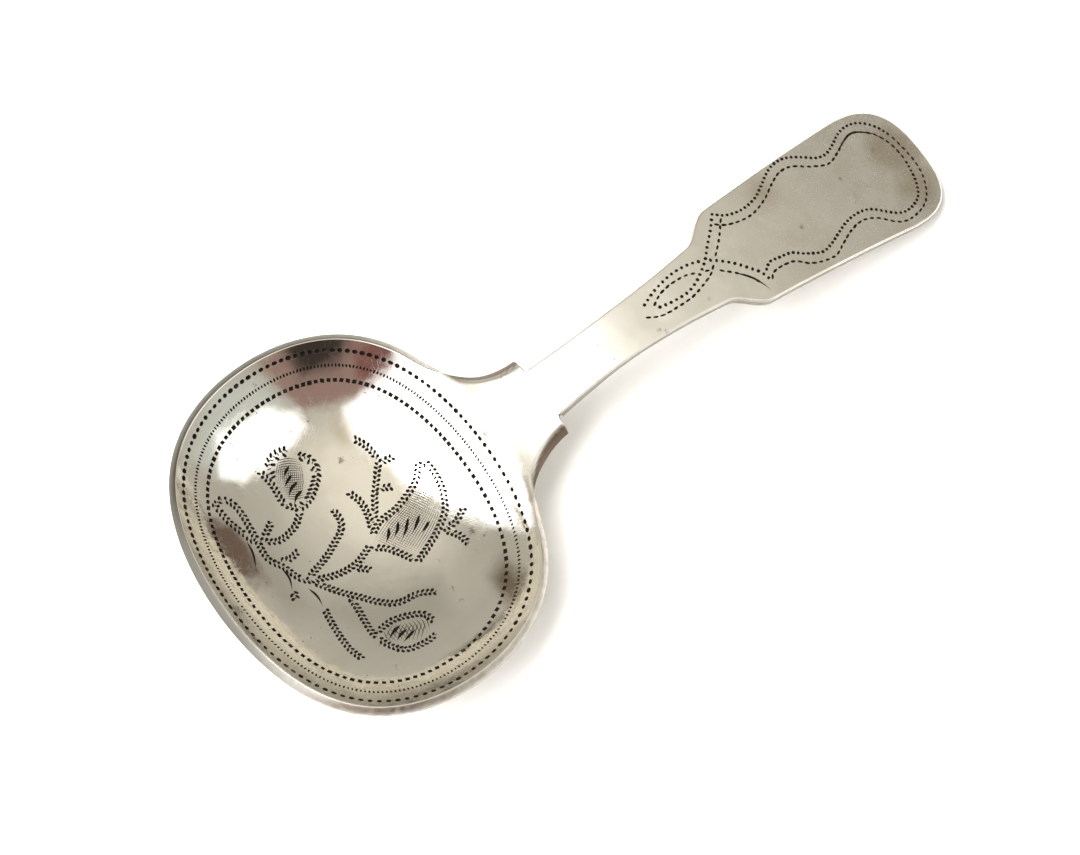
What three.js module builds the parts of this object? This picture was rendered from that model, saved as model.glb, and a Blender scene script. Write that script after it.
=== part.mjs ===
// A caddy spoon: a short spoon with a wide shallow bowl, for measuring tea leaves out of a caddy.
// It is soldered from two pieces: a raised bowl with a stepped neck, and a flat handle whose heel laps
// under the neck. Millimetres, +Z up, +X towards the handle's end. It lies as it does on a table, on the
// flat under its bowl and on the end of its handle, with the origin under the middle of its length.
//
// Both pieces and the solder between them are layers under one skin, which is the face seen from above.
// A point of the skin, moved down along the skin's own normal, gives the matching point of each layer.
// Before it is moved to its origin the spoon is measured from the middle of the bowl, where x = 0.

import * as THREE from 'three';

// The bowl, over its rim
const BOWL_WIDTH = 43.2;
const BOWL_LENGTH = 35.6;
const BOWL_SQUARENESS = 0.33; // 0 is an ellipse, more fills out its four corners
const RIM_HEIGHT = 8.9; // the rim's upper edge above the table, beside the middle of the bowl
const RIM_TILT = THREE.MathUtils.degToRad(5.2); // the bowl's tip is the high end
const WALL_ANGLE = THREE.MathUtils.degToRad(48); // how steeply the wall meets the rim
const SHEET = 0.85;
const RIM_THICKNESS = 1.2; // the edge is hammered thicker than the sheet, then filed square
const REST_FLAT = 0.12; // worn off under the bowl

// The neck, which runs from the bowl's lip to the two stepped shoulders
const NECK_REACH = 6.8;
const NECK_FOOT = 9.5; // the spine starts this far behind the shoulders
const NECK_DIP = 0.7; // the middle of the lip lies this far under the rim
const SHOULDER_WIDTH = 10;
const SHOULDER_DROP = 1.6; // how far the shoulders curl down
const SHOULDER_CURL = 6; // a higher power keeps the middle flatter
const CROWN_FADE = 5; // beyond the shoulders the curl runs out over this length
const FLANK_RADIUS = 9.8;
const LIP_BLEND = 1.8;
const SADDLE_RISE = 5.3; // from the middle of the neck up to the rim, over half the bowl's width

// The handle
const STEM_LENGTH = 22;
const STEM_WAIST = 5.6;
const STEM_FLARE = 7.6; // the stem's width where the fiddle starts
const WAIST_PLACE = 0.34; // share of the stem's length
const FIDDLE_LENGTH = 29.9;
const FIDDLE_SHOULDER = 4.2;
const FIDDLE_FOOT_WIDTH = 12.6;
const FIDDLE_WIDTH = 15.2;
const FIDDLE_ROUND = 7.1; // the length of the rounded end
const ROUND_POWER = 2.75;
const CREST_REACH = 11.5; // the handle is highest this far past the shoulders
const CREST_HEIGHT = 10.3;
const END_SLOPE = Math.tan(THREE.MathUtils.degToRad(25.6));
const NECK_THICKNESS = 1.8;
const CREST_THICKNESS = 1.2;
const END_THICKNESS = 1.0;
const EDGE_BREAK = 0.15;

// The lap under the neck
const HEEL_LENGTH = 10.4;
const HEEL_WIDTH = 5.6;
const HEEL_ROUND = 3.4;
const HEEL_TIP_THICKNESS = 0.45;
const SOLDER = 0.14;
const SEAT_CLEARANCE = 0.08; // kept on both sides of the solder
const SEAT_STEP = 0.02; // a seat's wall leans by this much

const { clamp, smoothstep } = THREE.MathUtils;

// Sizes that follow from those above
const rimSpread = RIM_THICKNESS * Math.sin(WALL_ANGLE);
const lipLength = BOWL_LENGTH / 2 - rimSpread;
const lipWidth = BOWL_WIDTH / 2 - rimSpread;
const tilt = Math.tan(RIM_TILT);
const shoulderX = lipLength + NECK_REACH;
const neckFootX = shoulderX - NECK_FOOT;
const crestX = shoulderX + CREST_REACH;
const fiddleX = shoulderX + STEM_LENGTH;
const endX = fiddleX + FIDDLE_LENGTH;
const waistX = shoulderX + STEM_LENGTH * WAIST_PLACE;
const endHeight = END_THICKNESS / Math.hypot(1, END_SLOPE);
const jointGap = SOLDER + 2 * SEAT_CLEARANCE;
const heelTipX = shoulderX - HEEL_LENGTH;

// A cubic between two points with a slope at each
function cubic(x, x0, z0, slope0, x1, z1, slope1) {
  const run = x1 - x0;
  const t = (x - x0) / run;
  const t2 = t * t;
  const t3 = t2 * t;
  return (1 - 3 * t2 + 2 * t3) * z0 + (t - 2 * t2 + t3) * run * slope0
    + (3 * t2 - 2 * t3) * z1 + (t3 - t2) * run * slope1;
}

// The lower of two heights, with a rounded change from one to the other
function blendLower(a, b, radius) {
  const near = Math.max(radius - Math.abs(a - b), 0) / radius;
  return Math.min(a, b) - near * near * radius / 4;
}

const rimLine = (x) => RIM_HEIGHT - x * tilt;

// 0 in the middle of the bowl and 1 all along its inner edge, which is a slightly squared oval
function bowlShare(x, y) {
  const u2 = (x / lipLength) ** 2;
  const v2 = (y / lipWidth) ** 2;
  return u2 + v2 - BOWL_SQUARENESS * u2 * v2;
}

// The bowl's inside. It steepens to the wall angle at the rim, and carries on rising outside it.
function dish(x, y, depth) {
  const steep = Math.tan(WALL_ANGLE) * lipWidth / (2 * depth) - 1;
  const p = bowlShare(x, y);
  return rimLine(x) - depth * (1 - p) * (1 + steep * p);
}

// The depth that leaves the bowl's outside REST_FLAT below the table, before that is worn off
function findDepth() {
  let depth = RIM_HEIGHT;
  for (let round = 0; round < 12; round += 1) {
    let lowest = Infinity;
    for (let x = -lipLength / 2; x < lipLength / 2; x += 0.02) {
      const slope = (dish(x + 0.01, 0, depth) - dish(x - 0.01, 0, depth)) / 0.02;
      lowest = Math.min(lowest, dish(x, 0, depth) - SHEET / Math.hypot(1, slope));
    }
    depth += lowest + REST_FLAT;
  }
  return depth;
}
const bowlDepth = findDepth();

// The handle's middle line: up from the neck to a crest, then down to the table
function spine(x) {
  const footHeight = rimLine(neckFootX) - NECK_DIP;
  if (x < neckFootX) return footHeight + 0.05 * (neckFootX - x) ** 2;
  if (x < crestX) return cubic(x, neckFootX, footHeight, 0, crestX, CREST_HEIGHT, 0);
  return cubic(x, crestX, CREST_HEIGHT, 0, endX, endHeight, -END_SLOPE);
}

const ovalHalf = (x) => {
  const u2 = Math.min((x / lipLength) ** 2, 1);
  return lipWidth * Math.sqrt((1 - u2) / (1 - BOWL_SQUARENESS * u2));
};

// The hollow curve of a flank touches the bowl's oval and runs out at the shoulder's corner. Its centre is
// found by the angle that the flank makes there with the length of the spoon.
function findFlank() {
  const centreAt = (angle) => new THREE.Vector2(
    shoulderX + FLANK_RADIUS * Math.sin(angle), SHOULDER_WIDTH / 2 + FLANK_RADIUS * Math.cos(angle));
  const nearest = (centre) => {
    let best = { distance: Infinity };
    for (let x = 0; x < lipLength; x += 0.01) {
      const distance = Math.hypot(centre.x - x, centre.y - ovalHalf(x));
      if (distance < best.distance) best = { distance, x };
    }
    return best;
  };
  let low = -Math.PI / 4;
  let high = Math.PI / 2;
  for (let round = 0; round < 24; round += 1) {
    const middle = (low + high) / 2;
    if (nearest(centreAt(middle)).distance < FLANK_RADIUS) low = middle;
    else high = middle;
  }
  return { angle: high, centre: centreAt(high), touchX: nearest(centreAt(high)).x };
}
const flank = findFlank();

// Half the width of the bowl's own edge, from the oval through the flank to the shoulder
function neckHalf(x) {
  if (x < flank.touchX) return ovalHalf(x);
  const from = flank.centre.x - x;
  return flank.centre.y - Math.sqrt(FLANK_RADIUS ** 2 - from ** 2);
}

// The back of the lip and the whole handle: a saddle that turns into a crown at the shoulders
function back(x, y) {
  const saddle = SADDLE_RISE * (y / lipWidth) ** 2 * (1 - smoothstep(x, neckFootX, shoulderX - 2));
  const runOut = 1 - smoothstep(x, shoulderX, shoulderX + CROWN_FADE);
  const curl = smoothstep(x, lipLength - 1, shoulderX) * runOut;
  const half = x < shoulderX ? neckHalf(Math.max(x, flank.touchX)) : SHOULDER_WIDTH / 2;
  return spine(x) + saddle - SHOULDER_DROP * curl * (Math.abs(y) / half) ** SHOULDER_CURL;
}

const skin = (x, y) => blendLower(dish(x, y, bowlDepth), back(x, y), LIP_BLEND);

// The point that lies the given depth under the skin, measured along the skin's normal
function under(x, y, depth) {
  const step = 0.005;
  const slopeX = (skin(x + step, y) - skin(x - step, y)) / (2 * step);
  const slopeY = (skin(x, y + step) - skin(x, y - step)) / (2 * step);
  const normal = new THREE.Vector3(-slopeX, -slopeY, 1).normalize();
  return new THREE.Vector3(x, y, skin(x, y)).addScaledVector(normal, -depth);
}

// The bowl's sheet, thicker towards the rim but not at the neck
function sheetAt(x, y) {
  const thickening = smoothstep(bowlShare(x, y), 0.55, 1) * (1 - smoothstep(x, neckFootX, shoulderX - 3));
  return SHEET + (RIM_THICKNESS - SHEET) * thickening;
}

// A point of the slightly squared oval, at an angle
function ovalPoint(angle) {
  const k = 4 * BOWL_SQUARENESS * (Math.sin(angle) * Math.cos(angle)) ** 2;
  const reach = k < 1e-9 ? 1 : Math.sqrt(2 * (1 - Math.sqrt(1 - k)) / k);
  return new THREE.Vector2(lipLength * reach * Math.cos(angle), lipWidth * reach * Math.sin(angle));
}

// The bowl's edge seen from above, anticlockwise from the middle of the neck's end
function bowlEdge() {
  const OVAL_STEPS = 30;
  const FLANK_STEPS = 9;
  const END_STEPS = 7;
  const END_CROWDING = 1.5; // above 1 the points crowd towards the curled corner
  const half = [];
  for (let i = 0; i < END_STEPS; i += 1) {
    const share = 1 - (1 - i / END_STEPS) ** END_CROWDING;
    half.push(new THREE.Vector2(shoulderX, SHOULDER_WIDTH / 2 * share));
  }
  const turn = Math.asin((flank.centre.x - flank.touchX) / FLANK_RADIUS) - flank.angle;
  for (let i = 0; i < FLANK_STEPS; i += 1) {
    const angle = flank.angle + turn * i / FLANK_STEPS;
    const x = flank.centre.x - FLANK_RADIUS * Math.sin(angle);
    half.push(new THREE.Vector2(x, flank.centre.y - FLANK_RADIUS * Math.cos(angle)));
  }
  const start = Math.atan2(ovalHalf(flank.touchX) / lipWidth, flank.touchX / lipLength);
  for (let i = 0; i <= OVAL_STEPS; i += 1) {
    half.push(ovalPoint(start + (Math.PI - start) * i / OVAL_STEPS));
  }
  half[half.length - 1].y = 0;
  const other = half.slice(1, -1).reverse().map((p) => new THREE.Vector2(p.x, -p.y));
  return [...half, ...other];
}

// A mesh from points and triangles
function meshOf(name, points, triangles, material) {
  const geometry = new THREE.BufferGeometry();
  geometry.setAttribute('position', new THREE.Float32BufferAttribute(points.flatMap((p) => p.toArray()), 3));
  geometry.setIndex(triangles);
  geometry.computeVertexNormals();
  const mesh = new THREE.Mesh(geometry, material);
  mesh.name = name;
  return mesh;
}

// The four-sided face a, b, c, d as two triangles, split along its shorter diagonal
function split(points, a, b, c, d) {
  const straight = points[a].distanceTo(points[c]) <= points[b].distanceTo(points[d]);
  return straight ? [a, b, c, a, c, d] : [a, b, d, b, c, d];
}

// The bowl: rings round the middle on the skin, the same rings under it, and the filed edge between them
function makeBowl(material) {
  const RINGS = 16;
  const RING_CROWDING = 1.15; // above 1 the rings crowd towards the rim
  const edge = bowlEdge();
  const count = edge.length;
  const points = [];
  const triangles = [];
  const drop = (x, y, depth) => {
    const point = under(x, y, depth);
    point.z = Math.max(point.z, 0);
    return point;
  };
  for (const lower of [false, true]) {
    points.push(drop(0, 0, lower ? sheetAt(0, 0) : 0));
    for (let ring = 1; ring <= RINGS; ring += 1) {
      const share = 1 - (1 - ring / RINGS) ** RING_CROWDING;
      for (const corner of edge) {
        const x = corner.x * share;
        const y = corner.y * share;
        points.push(drop(x, y, lower ? sheetAt(x, y) : 0));
      }
    }
  }
  const layer = 1 + RINGS * count;
  const at = (lower, ring, i) => (lower ? layer : 0) + 1 + (ring - 1) * count + i % count;
  for (let i = 0; i < count; i += 1) {
    triangles.push(0, at(false, 1, i), at(false, 1, i + 1));
    triangles.push(layer, at(true, 1, i + 1), at(true, 1, i));
    for (let ring = 1; ring < RINGS; ring += 1) {
      const cell = (lower) => [
        at(lower, ring, i), at(lower, ring + 1, i), at(lower, ring + 1, i + 1), at(lower, ring, i + 1)];
      const [first, ...others] = cell(true);
      triangles.push(...split(points, ...cell(false)), ...split(points, first, ...others.reverse()));
    }
    const filed = [at(false, RINGS, i), at(true, RINGS, i), at(true, RINGS, i + 1), at(false, RINGS, i + 1)];
    triangles.push(...split(points, ...filed));
  }
  return meshOf('bowl', points, triangles, material);
}

// A strip under the skin: stations along it, each a loop of the same number of points round its section.
// A loop runs across the top, down one edge, back across the bottom and up the other edge, so at the ends
// its top and its bottom are joined across.
function makeStrip(name, stations, material) {
  const points = stations.flat();
  const triangles = [];
  const count = stations[0].length;
  for (let k = 0; k + 1 < stations.length; k += 1) {
    for (let i = 0; i < count; i += 1) {
      const a = k * count + i;
      const b = k * count + (i + 1) % count;
      triangles.push(...split(points, a, a + count, b + count, b));
    }
  }
  const last = (stations.length - 1) * count;
  for (let i = 0; i < count / 2 - 1; i += 1) {
    const upper = (count + i - 1) % count;
    const lower = count - i - 2;
    const cap = [upper, i, lower - 1, lower];
    triangles.push(...split(points, ...cap));
    triangles.push(...split(points, ...cap.map((corner) => last + corner).reverse()));
  }
  return meshOf(name, points, triangles, material);
}

// One section of a strip, with its long edges broken: across the top one way and the bottom the other
function section(x, half, top, bottom, acrossSteps) {
  const edge = Math.min(EDGE_BREAK, half / 4);
  const loop = [];
  const row = (depthAt, direction) => {
    for (let i = 0; i <= acrossSteps; i += 1) {
      const y = direction * (2 * i / acrossSteps - 1) * (half - edge);
      loop.push(under(x, y, depthAt(x, y)));
    }
  };
  const corner = (side) => {
    const y = side * half;
    const thin = Math.min(EDGE_BREAK, (bottom(x, y) - top(x, y)) / 4);
    const depths = [top(x, y) + thin, bottom(x, y) - thin];
    if (side < 0) depths.reverse();
    for (const depth of depths) loop.push(under(x, y, depth));
  };
  row(top, 1);
  corner(1);
  row(bottom, -1);
  corner(-1);
  return loop;
}

// Stations from one x to another, crowded by the sine towards the round end
const roundStations = (from, to, steps) => Array.from(
  { length: steps }, (_, i) => from + (to - from) * Math.sin(Math.PI / 2 * (i + 1) / (steps + 0.35)));

const evenStations = (from, to, longest) => {
  const steps = Math.ceil((to - from) / longest);
  return Array.from({ length: steps + 1 }, (_, i) => from + (to - from) * i / steps);
};

// Half the handle's width: waisted stem, fiddle shoulders, fiddle and rounded end
function handleHalf(x) {
  const flare = (STEM_FLARE - STEM_WAIST) / 2 / (fiddleX - waistX) ** 2;
  const stem = STEM_WAIST / 2 + flare * (x - waistX) ** 2;
  const roundX = endX - FIDDLE_ROUND;
  const widening = clamp((x - fiddleX - FIDDLE_SHOULDER) / (roundX - fiddleX - FIDDLE_SHOULDER), 0, 1);
  const fiddle = FIDDLE_FOOT_WIDTH / 2 + (FIDDLE_WIDTH - FIDDLE_FOOT_WIDTH) / 2 * widening;
  const whole = stem + (fiddle - stem) * smoothstep(x, fiddleX, fiddleX + FIDDLE_SHOULDER);
  const rounding = clamp((x - roundX) / FIDDLE_ROUND, 0, 1) ** ROUND_POWER;
  return whole * (1 - rounding) ** (1 / ROUND_POWER);
}

const heelRoundX = heelTipX + HEEL_ROUND;
const heelHalf = (x) => HEEL_WIDTH / 2 * Math.sqrt(1 - clamp((heelRoundX - x) / HEEL_ROUND, 0, 1) ** 2);

// How thick the handle is from the skin down, beyond the neck
function handleThickness(x) {
  const thinning = smoothstep(x, shoulderX, crestX);
  if (x < crestX) return NECK_THICKNESS + (CREST_THICKNESS - NECK_THICKNESS) * thinning;
  return CREST_THICKNESS + (END_THICKNESS - CREST_THICKNESS) * (x - crestX) / (endX - crestX);
}

// How thick the heel is under the lap, from its thin tip to the full neck
function heelThickness(x) {
  const full = NECK_THICKNESS - SHEET - jointGap;
  return HEEL_TIP_THICKNESS + (full - HEEL_TIP_THICKNESS) * smoothstep(x, heelTipX, shoulderX);
}

function makeHandle(material) {
  const ACROSS = 8;
  const seatX = shoulderX + jointGap;
  const lapTop = (x, y) => sheetAt(x, y) + jointGap;
  const lapBottom = (x, y) => lapTop(x, y) + heelThickness(x);
  const stations = [];
  const heelXs = [
    ...roundStations(heelRoundX, heelTipX, 5).reverse(),
    ...evenStations(heelRoundX, seatX, 0.9),
  ];
  for (const x of heelXs) stations.push(section(x, heelHalf(x), lapTop, lapBottom, ACROSS));
  const bodyXs = [
    ...evenStations(seatX + SEAT_STEP, fiddleX, 1.5),
    ...evenStations(fiddleX, fiddleX + FIDDLE_SHOULDER, 0.6).slice(1),
    ...evenStations(fiddleX + FIDDLE_SHOULDER, endX - FIDDLE_ROUND, 1.6).slice(1),
    ...roundStations(endX - FIDDLE_ROUND, endX, 9),
  ];
  for (const x of bodyXs) stations.push(section(x, handleHalf(x), () => 0, handleThickness, ACROSS));
  return makeStrip('handle', stations, material);
}

// The solder fills the lap and stands up in the butt, where its edge shows as a fine line across the neck.
function makeSolder(material) {
  const ACROSS = 6;
  const buttX = shoulderX + SEAT_CLEARANCE;
  const lapTop = (x, y) => sheetAt(x, y) + SEAT_CLEARANCE;
  const lapBottom = (x, y) => lapTop(x, y) + SOLDER;
  const flush = () => SEAT_CLEARANCE / 2;
  const half = (x) => heelHalf(x) - SEAT_CLEARANCE;
  const lapXs = [
    ...roundStations(heelRoundX, heelTipX + HEEL_ROUND / 4, 3).reverse(),
    ...evenStations(heelRoundX, buttX - SEAT_STEP, 0.9),
  ];
  const stations = lapXs.map((x) => section(x, half(x), lapTop, lapBottom, ACROSS));
  for (const x of [buttX, buttX + SOLDER]) stations.push(section(x, half(x), flush, lapBottom, ACROSS));
  return makeStrip('solder_seam', stations, material);
}

const silver = (color, roughness) => new THREE.MeshStandardMaterial({ color, roughness, metalness: 1 });

const spoon = new THREE.Group();
spoon.add(makeBowl(silver(0xcfc8b8, 0.22)));
spoon.add(makeHandle(silver(0xc9c2b0, 0.3)));
spoon.add(makeSolder(silver(0xb9b09c, 0.45)));

const box = new THREE.Box3().setFromObject(spoon);
spoon.position.x = -(box.min.x + box.max.x) / 2;

export default spoon;
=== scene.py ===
# %% [markdown]
# # A caddy spoon in old silver
#
# A caddy spoon measures tea leaves out of a caddy. This one was raised and filed by hand: a wide,
# slightly squared bowl runs through a stepped neck into a flat, arched handle shaped like the body of a
# fiddle. Its face is cut with three dotted rings, a spray of flowers and a border. The lesson starts from
# the frame, which holds the real pieces at their real size, and gives each piece its fine surface, its
# engraving and its finish.

# %% The frame
import math
import random

import bpy
import numpy as np
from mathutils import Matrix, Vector


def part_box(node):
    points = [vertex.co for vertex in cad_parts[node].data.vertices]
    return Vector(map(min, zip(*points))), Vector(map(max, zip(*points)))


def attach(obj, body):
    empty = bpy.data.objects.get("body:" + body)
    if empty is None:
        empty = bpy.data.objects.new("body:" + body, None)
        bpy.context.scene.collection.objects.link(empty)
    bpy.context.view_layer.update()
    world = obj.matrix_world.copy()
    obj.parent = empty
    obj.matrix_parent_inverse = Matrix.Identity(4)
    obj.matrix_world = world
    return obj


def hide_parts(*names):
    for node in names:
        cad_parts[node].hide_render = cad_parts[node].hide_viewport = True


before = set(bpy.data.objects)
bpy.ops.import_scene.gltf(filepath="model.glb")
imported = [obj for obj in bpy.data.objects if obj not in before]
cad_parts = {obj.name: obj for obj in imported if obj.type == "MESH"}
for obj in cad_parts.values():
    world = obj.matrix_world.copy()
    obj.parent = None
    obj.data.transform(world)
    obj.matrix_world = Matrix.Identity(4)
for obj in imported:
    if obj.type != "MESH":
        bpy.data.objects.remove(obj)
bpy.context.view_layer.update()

MM = 0.001


# %% [markdown]
# ## The sizes of the spoon
#
# Blender works in metres, but a silversmith thinks in millimetres, so the shape is worked out in
# millimetres and scaled at the end. The bowl's own middle is where x = 0, and the frame says how far that
# lies from the origin. Both silver pieces are layers under one skin, the face that is seen from above, so
# this cell holds the few sizes that shape that skin: the bowl's oval, the neck with its two curled
# shoulders, and the handle.

# %% Driving sizes, in millimetres
BOWL_WIDTH, BOWL_LENGTH, BOWL_SQUARENESS = 43.2, 35.6, 0.33
RIM_HEIGHT, RIM_TILT, WALL_ANGLE = 8.9, math.radians(5.2), math.radians(48)
SHEET, RIM_THICKNESS, REST_FLAT = 0.85, 1.2, 0.12
NECK_REACH, NECK_FOOT, NECK_DIP = 6.8, 9.5, 0.7
SHOULDER_WIDTH, SHOULDER_DROP, FOLD_WIDTH, FOLD_RUN, FOLD_LEAD = 10, 1.25, 1.3, 4.5, 1
FLANK_RADIUS, LIP_BLEND, SADDLE_RISE = 9.8, 1.8, 5.3
STEM_LENGTH, STEM_WAIST, STEM_FLARE, WAIST_PLACE = 22, 5.6, 7.6, 0.34
FIDDLE_LENGTH, FIDDLE_SHOULDER, FIDDLE_FOOT_WIDTH, FIDDLE_WIDTH = 29.9, 4.2, 12.6, 15.2
FIDDLE_ROUND, ROUND_POWER = 7.1, 2.75
CREST_REACH, CREST_HEIGHT, END_SLOPE = 11.5, 10.3, math.tan(math.radians(25.6))
NECK_THICKNESS, CREST_THICKNESS, END_THICKNESS = 1.8, 1.2, 1.0
HEEL_LENGTH, HEEL_WIDTH, HEEL_ROUND, HEEL_TIP_THICKNESS = 10.4, 5.6, 3.4, 0.45
JOINT_GAP = 0.3

rim_spread = RIM_THICKNESS * math.sin(WALL_ANGLE)
lip_length = BOWL_LENGTH / 2 - rim_spread
lip_width = BOWL_WIDTH / 2 - rim_spread
shoulder_x = lip_length + NECK_REACH
seat_x = shoulder_x + JOINT_GAP
neck_foot_x = shoulder_x - NECK_FOOT
crest_x = shoulder_x + CREST_REACH
fiddle_x = shoulder_x + STEM_LENGTH
end_x = fiddle_x + FIDDLE_LENGTH
waist_x = shoulder_x + STEM_LENGTH * WAIST_PLACE
heel_tip_x = shoulder_x - HEEL_LENGTH
end_height = END_THICKNESS / math.hypot(1, END_SLOPE)
origin_x = end_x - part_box("handle")[1].x / MM
print("the bowl's middle lies", round(origin_x, 2), "mm behind the origin")

# %% [markdown]
# ## The skin
#
# The bowl is a dish that steepens towards its rim. The back of its lip, the neck and the handle are one
# long saddle that turns into a crown at the shoulders. The skin takes the lower of the two with a rounded
# change, as a stake and a hammer leave it. A formula is used instead of sculpting, because a mirror
# finish shows every dent, and the formula gives exact normals as well. A few long, very low waves stand
# for the hammer's planishing.

# %% Height of the skin at any place
def smooth(x, low, high):
    t = np.clip((x - low) / (high - low), 0, 1)
    return t * t * (3 - 2 * t)


def cubic(x, x0, z0, slope0, x1, z1, slope1):
    run = x1 - x0
    t = (x - x0) / run
    start = (1 - 3 * t**2 + 2 * t**3) * z0 + (t - 2 * t**2 + t**3) * run * slope0
    return start + (3 * t**2 - 2 * t**3) * z1 + (t**3 - t**2) * run * slope1


def bowl_share(x, y):
    """0 in the middle of the bowl and 1 along its inner edge."""
    u2, v2 = (x / lip_length) ** 2, (y / lip_width) ** 2
    return u2 + v2 - BOWL_SQUARENESS * u2 * v2


def rim_line(x):
    return RIM_HEIGHT - x * math.tan(RIM_TILT)


def dish(x, y, depth):
    steep = math.tan(WALL_ANGLE) * lip_width / (2 * depth) - 1
    p = bowl_share(x, y)
    return rim_line(x) - depth * (1 - p) * (1 + steep * p)


def find_depth(samples=1600, tries=12, step=0.01):
    """The depth that brings the bowl's outside down to the table."""
    x = np.linspace(-lip_length / 2, lip_length / 2, samples)
    depth = RIM_HEIGHT
    for _ in range(tries):
        slope = (dish(x + step, 0, depth) - dish(x - step, 0, depth)) / (2 * step)
        depth += (dish(x, 0, depth) - SHEET / np.hypot(1, slope)).min() + REST_FLAT
    return depth


bowl_depth = find_depth()


def oval_half(x):
    u2 = np.minimum((x / lip_length) ** 2, 1)
    return lip_width * np.sqrt((1 - u2) / (1 - BOWL_SQUARENESS * u2))


def find_flank(samples=4000, tries=24):
    """The hollow arc from the shoulder's corner to the oval: its first angle, its centre and its last x."""
    x = np.linspace(0, lip_length, samples)
    low, high = -math.pi / 4, math.pi / 2
    for _ in range(tries):
        angle = (low + high) / 2
        centre_x = shoulder_x + FLANK_RADIUS * math.sin(angle)
        centre_y = SHOULDER_WIDTH / 2 + FLANK_RADIUS * math.cos(angle)
        gap = np.hypot(centre_x - x, centre_y - oval_half(x))
        if gap.min() < FLANK_RADIUS:
            low = angle
        else:
            high = angle
    return angle, centre_x, centre_y, x[gap.argmin()]


flank_angle, flank_centre_x, flank_centre_y, flank_touch = find_flank()


def neck_half(x):
    reach = np.clip(flank_centre_x - x, 0, FLANK_RADIUS)
    arc = flank_centre_y - np.sqrt(FLANK_RADIUS**2 - reach**2)
    return np.where(x < flank_touch, oval_half(x), arc)


def spine(x, hollow=0.05):
    foot = rim_line(neck_foot_x) - NECK_DIP
    rise = cubic(x, neck_foot_x, foot, 0, crest_x, CREST_HEIGHT, 0)
    fall = cubic(x, crest_x, CREST_HEIGHT, 0, end_x, end_height, -END_SLOPE)
    behind = foot + hollow * (neck_foot_x - x) ** 2
    return np.where(x < neck_foot_x, behind, np.where(x < crest_x, rise, fall))


def fold(x, y, beyond=1.2):
    """0 on the neck and 1 at its edge, where the shoulders are folded down. It goes on a little beyond."""
    half = neck_half(np.clip(x, flank_touch, shoulder_x))
    across = np.clip(1 - (half - np.abs(y)) / FOLD_WIDTH, 0, beyond)
    begins = lip_length - FOLD_LEAD
    along_it = smooth(x, begins, begins + FOLD_RUN) * (x < seat_x)
    return along_it * across**2 * (3 - across) / 2


def back(x, y):
    saddle = SADDLE_RISE * (y / lip_width) ** 2 * (1 - smooth(x, neck_foot_x, shoulder_x - 2))
    return spine(x) + saddle - SHOULDER_DROP * fold(x, y)


WAVES = 7
WAVE_HEIGHT = 0.006


def planish(x, y):
    """What the planishing hammer left: a few low waves from 5 to 11 mm long, in all directions."""
    total = 0
    for i in range(WAVES):
        turn, length = 2.4 * i, 5 + i
        total = total + np.sin(2 * math.pi / length * (x * math.cos(turn) + y * math.sin(turn)) + 1.7 * i)
    return WAVE_HEIGHT * total


def skin(x, y):
    a, b = dish(x, y, bowl_depth), back(x, y)
    near = np.maximum(LIP_BLEND - np.abs(a - b), 0) / LIP_BLEND
    return np.minimum(a, b) - near**2 * LIP_BLEND / 4 + planish(x, y)


def skin_normal(x, y, step=0.02):
    slope_x = (skin(x + step, y) - skin(x - step, y)) / (2 * step)
    slope_y = (skin(x, y + step) - skin(x, y - step)) / (2 * step)
    normal = np.stack([-slope_x, -slope_y, np.ones_like(slope_x)], -1)
    return normal / np.linalg.norm(normal, axis=-1, keepdims=True)


def under(x, y, depth):
    """Points the given depth under the skin, along its normal."""
    x, y, depth = (np.asarray(v, float) for v in np.broadcast_arrays(x, y, depth))
    return np.stack([x, y, skin(x, y)], -1) - skin_normal(x, y) * depth[..., None]


print("bowl", round(bowl_depth, 2), "mm deep under its rim, flank from x =", round(float(flank_touch), 2))

# %% [markdown]
# ## Working habits
#
# Blender's operators act on all that is selected, so each new piece starts from an empty selection. A
# mesh leaves these helpers with its place in its vertices and its object at the origin, which is what the
# frame asks for.

# %% Helpers for modelling
def start():
    if bpy.context.object and bpy.context.object.mode != "OBJECT":
        bpy.ops.object.mode_set(mode="OBJECT")
    bpy.ops.object.select_all(action="DESELECT")


def only(obj):
    start()
    obj.select_set(True)
    bpy.context.view_layer.objects.active = obj


def edit_all():
    bpy.ops.object.mode_set(mode="EDIT")
    bpy.ops.mesh.select_all(action="SELECT")


def face_out():
    """Turns all the faces of the active piece outwards."""
    edit_all()
    bpy.ops.mesh.normals_make_consistent(inside=False)
    bpy.ops.object.mode_set(mode="OBJECT")


def read_points(mesh):
    co = np.empty(len(mesh.vertices) * 3)
    mesh.vertices.foreach_get("co", co)
    return co.reshape(-1, 3)


def to_metres(points):
    """From millimetres with the bowl's middle at x = 0 to the frame's own places."""
    return (points + (-origin_x, 0, 0)) * MM


def to_millimetres(points):
    return points / MM + (origin_x, 0, 0)


def place_points(mesh, points):
    mesh.vertices.foreach_set("co", to_metres(points).ravel())
    mesh.update()


def add_object(name, data):
    obj = bpy.data.objects.new(name, data)
    bpy.context.scene.collection.objects.link(obj)
    return obj


def add_mesh(name, points, faces):
    """A new object from points in millimetres and the faces between them."""
    mesh = bpy.data.meshes.new(name)
    mesh.from_pydata([tuple(to_metres(p)) for p in points], [], faces)
    return add_object(name, mesh)


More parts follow.
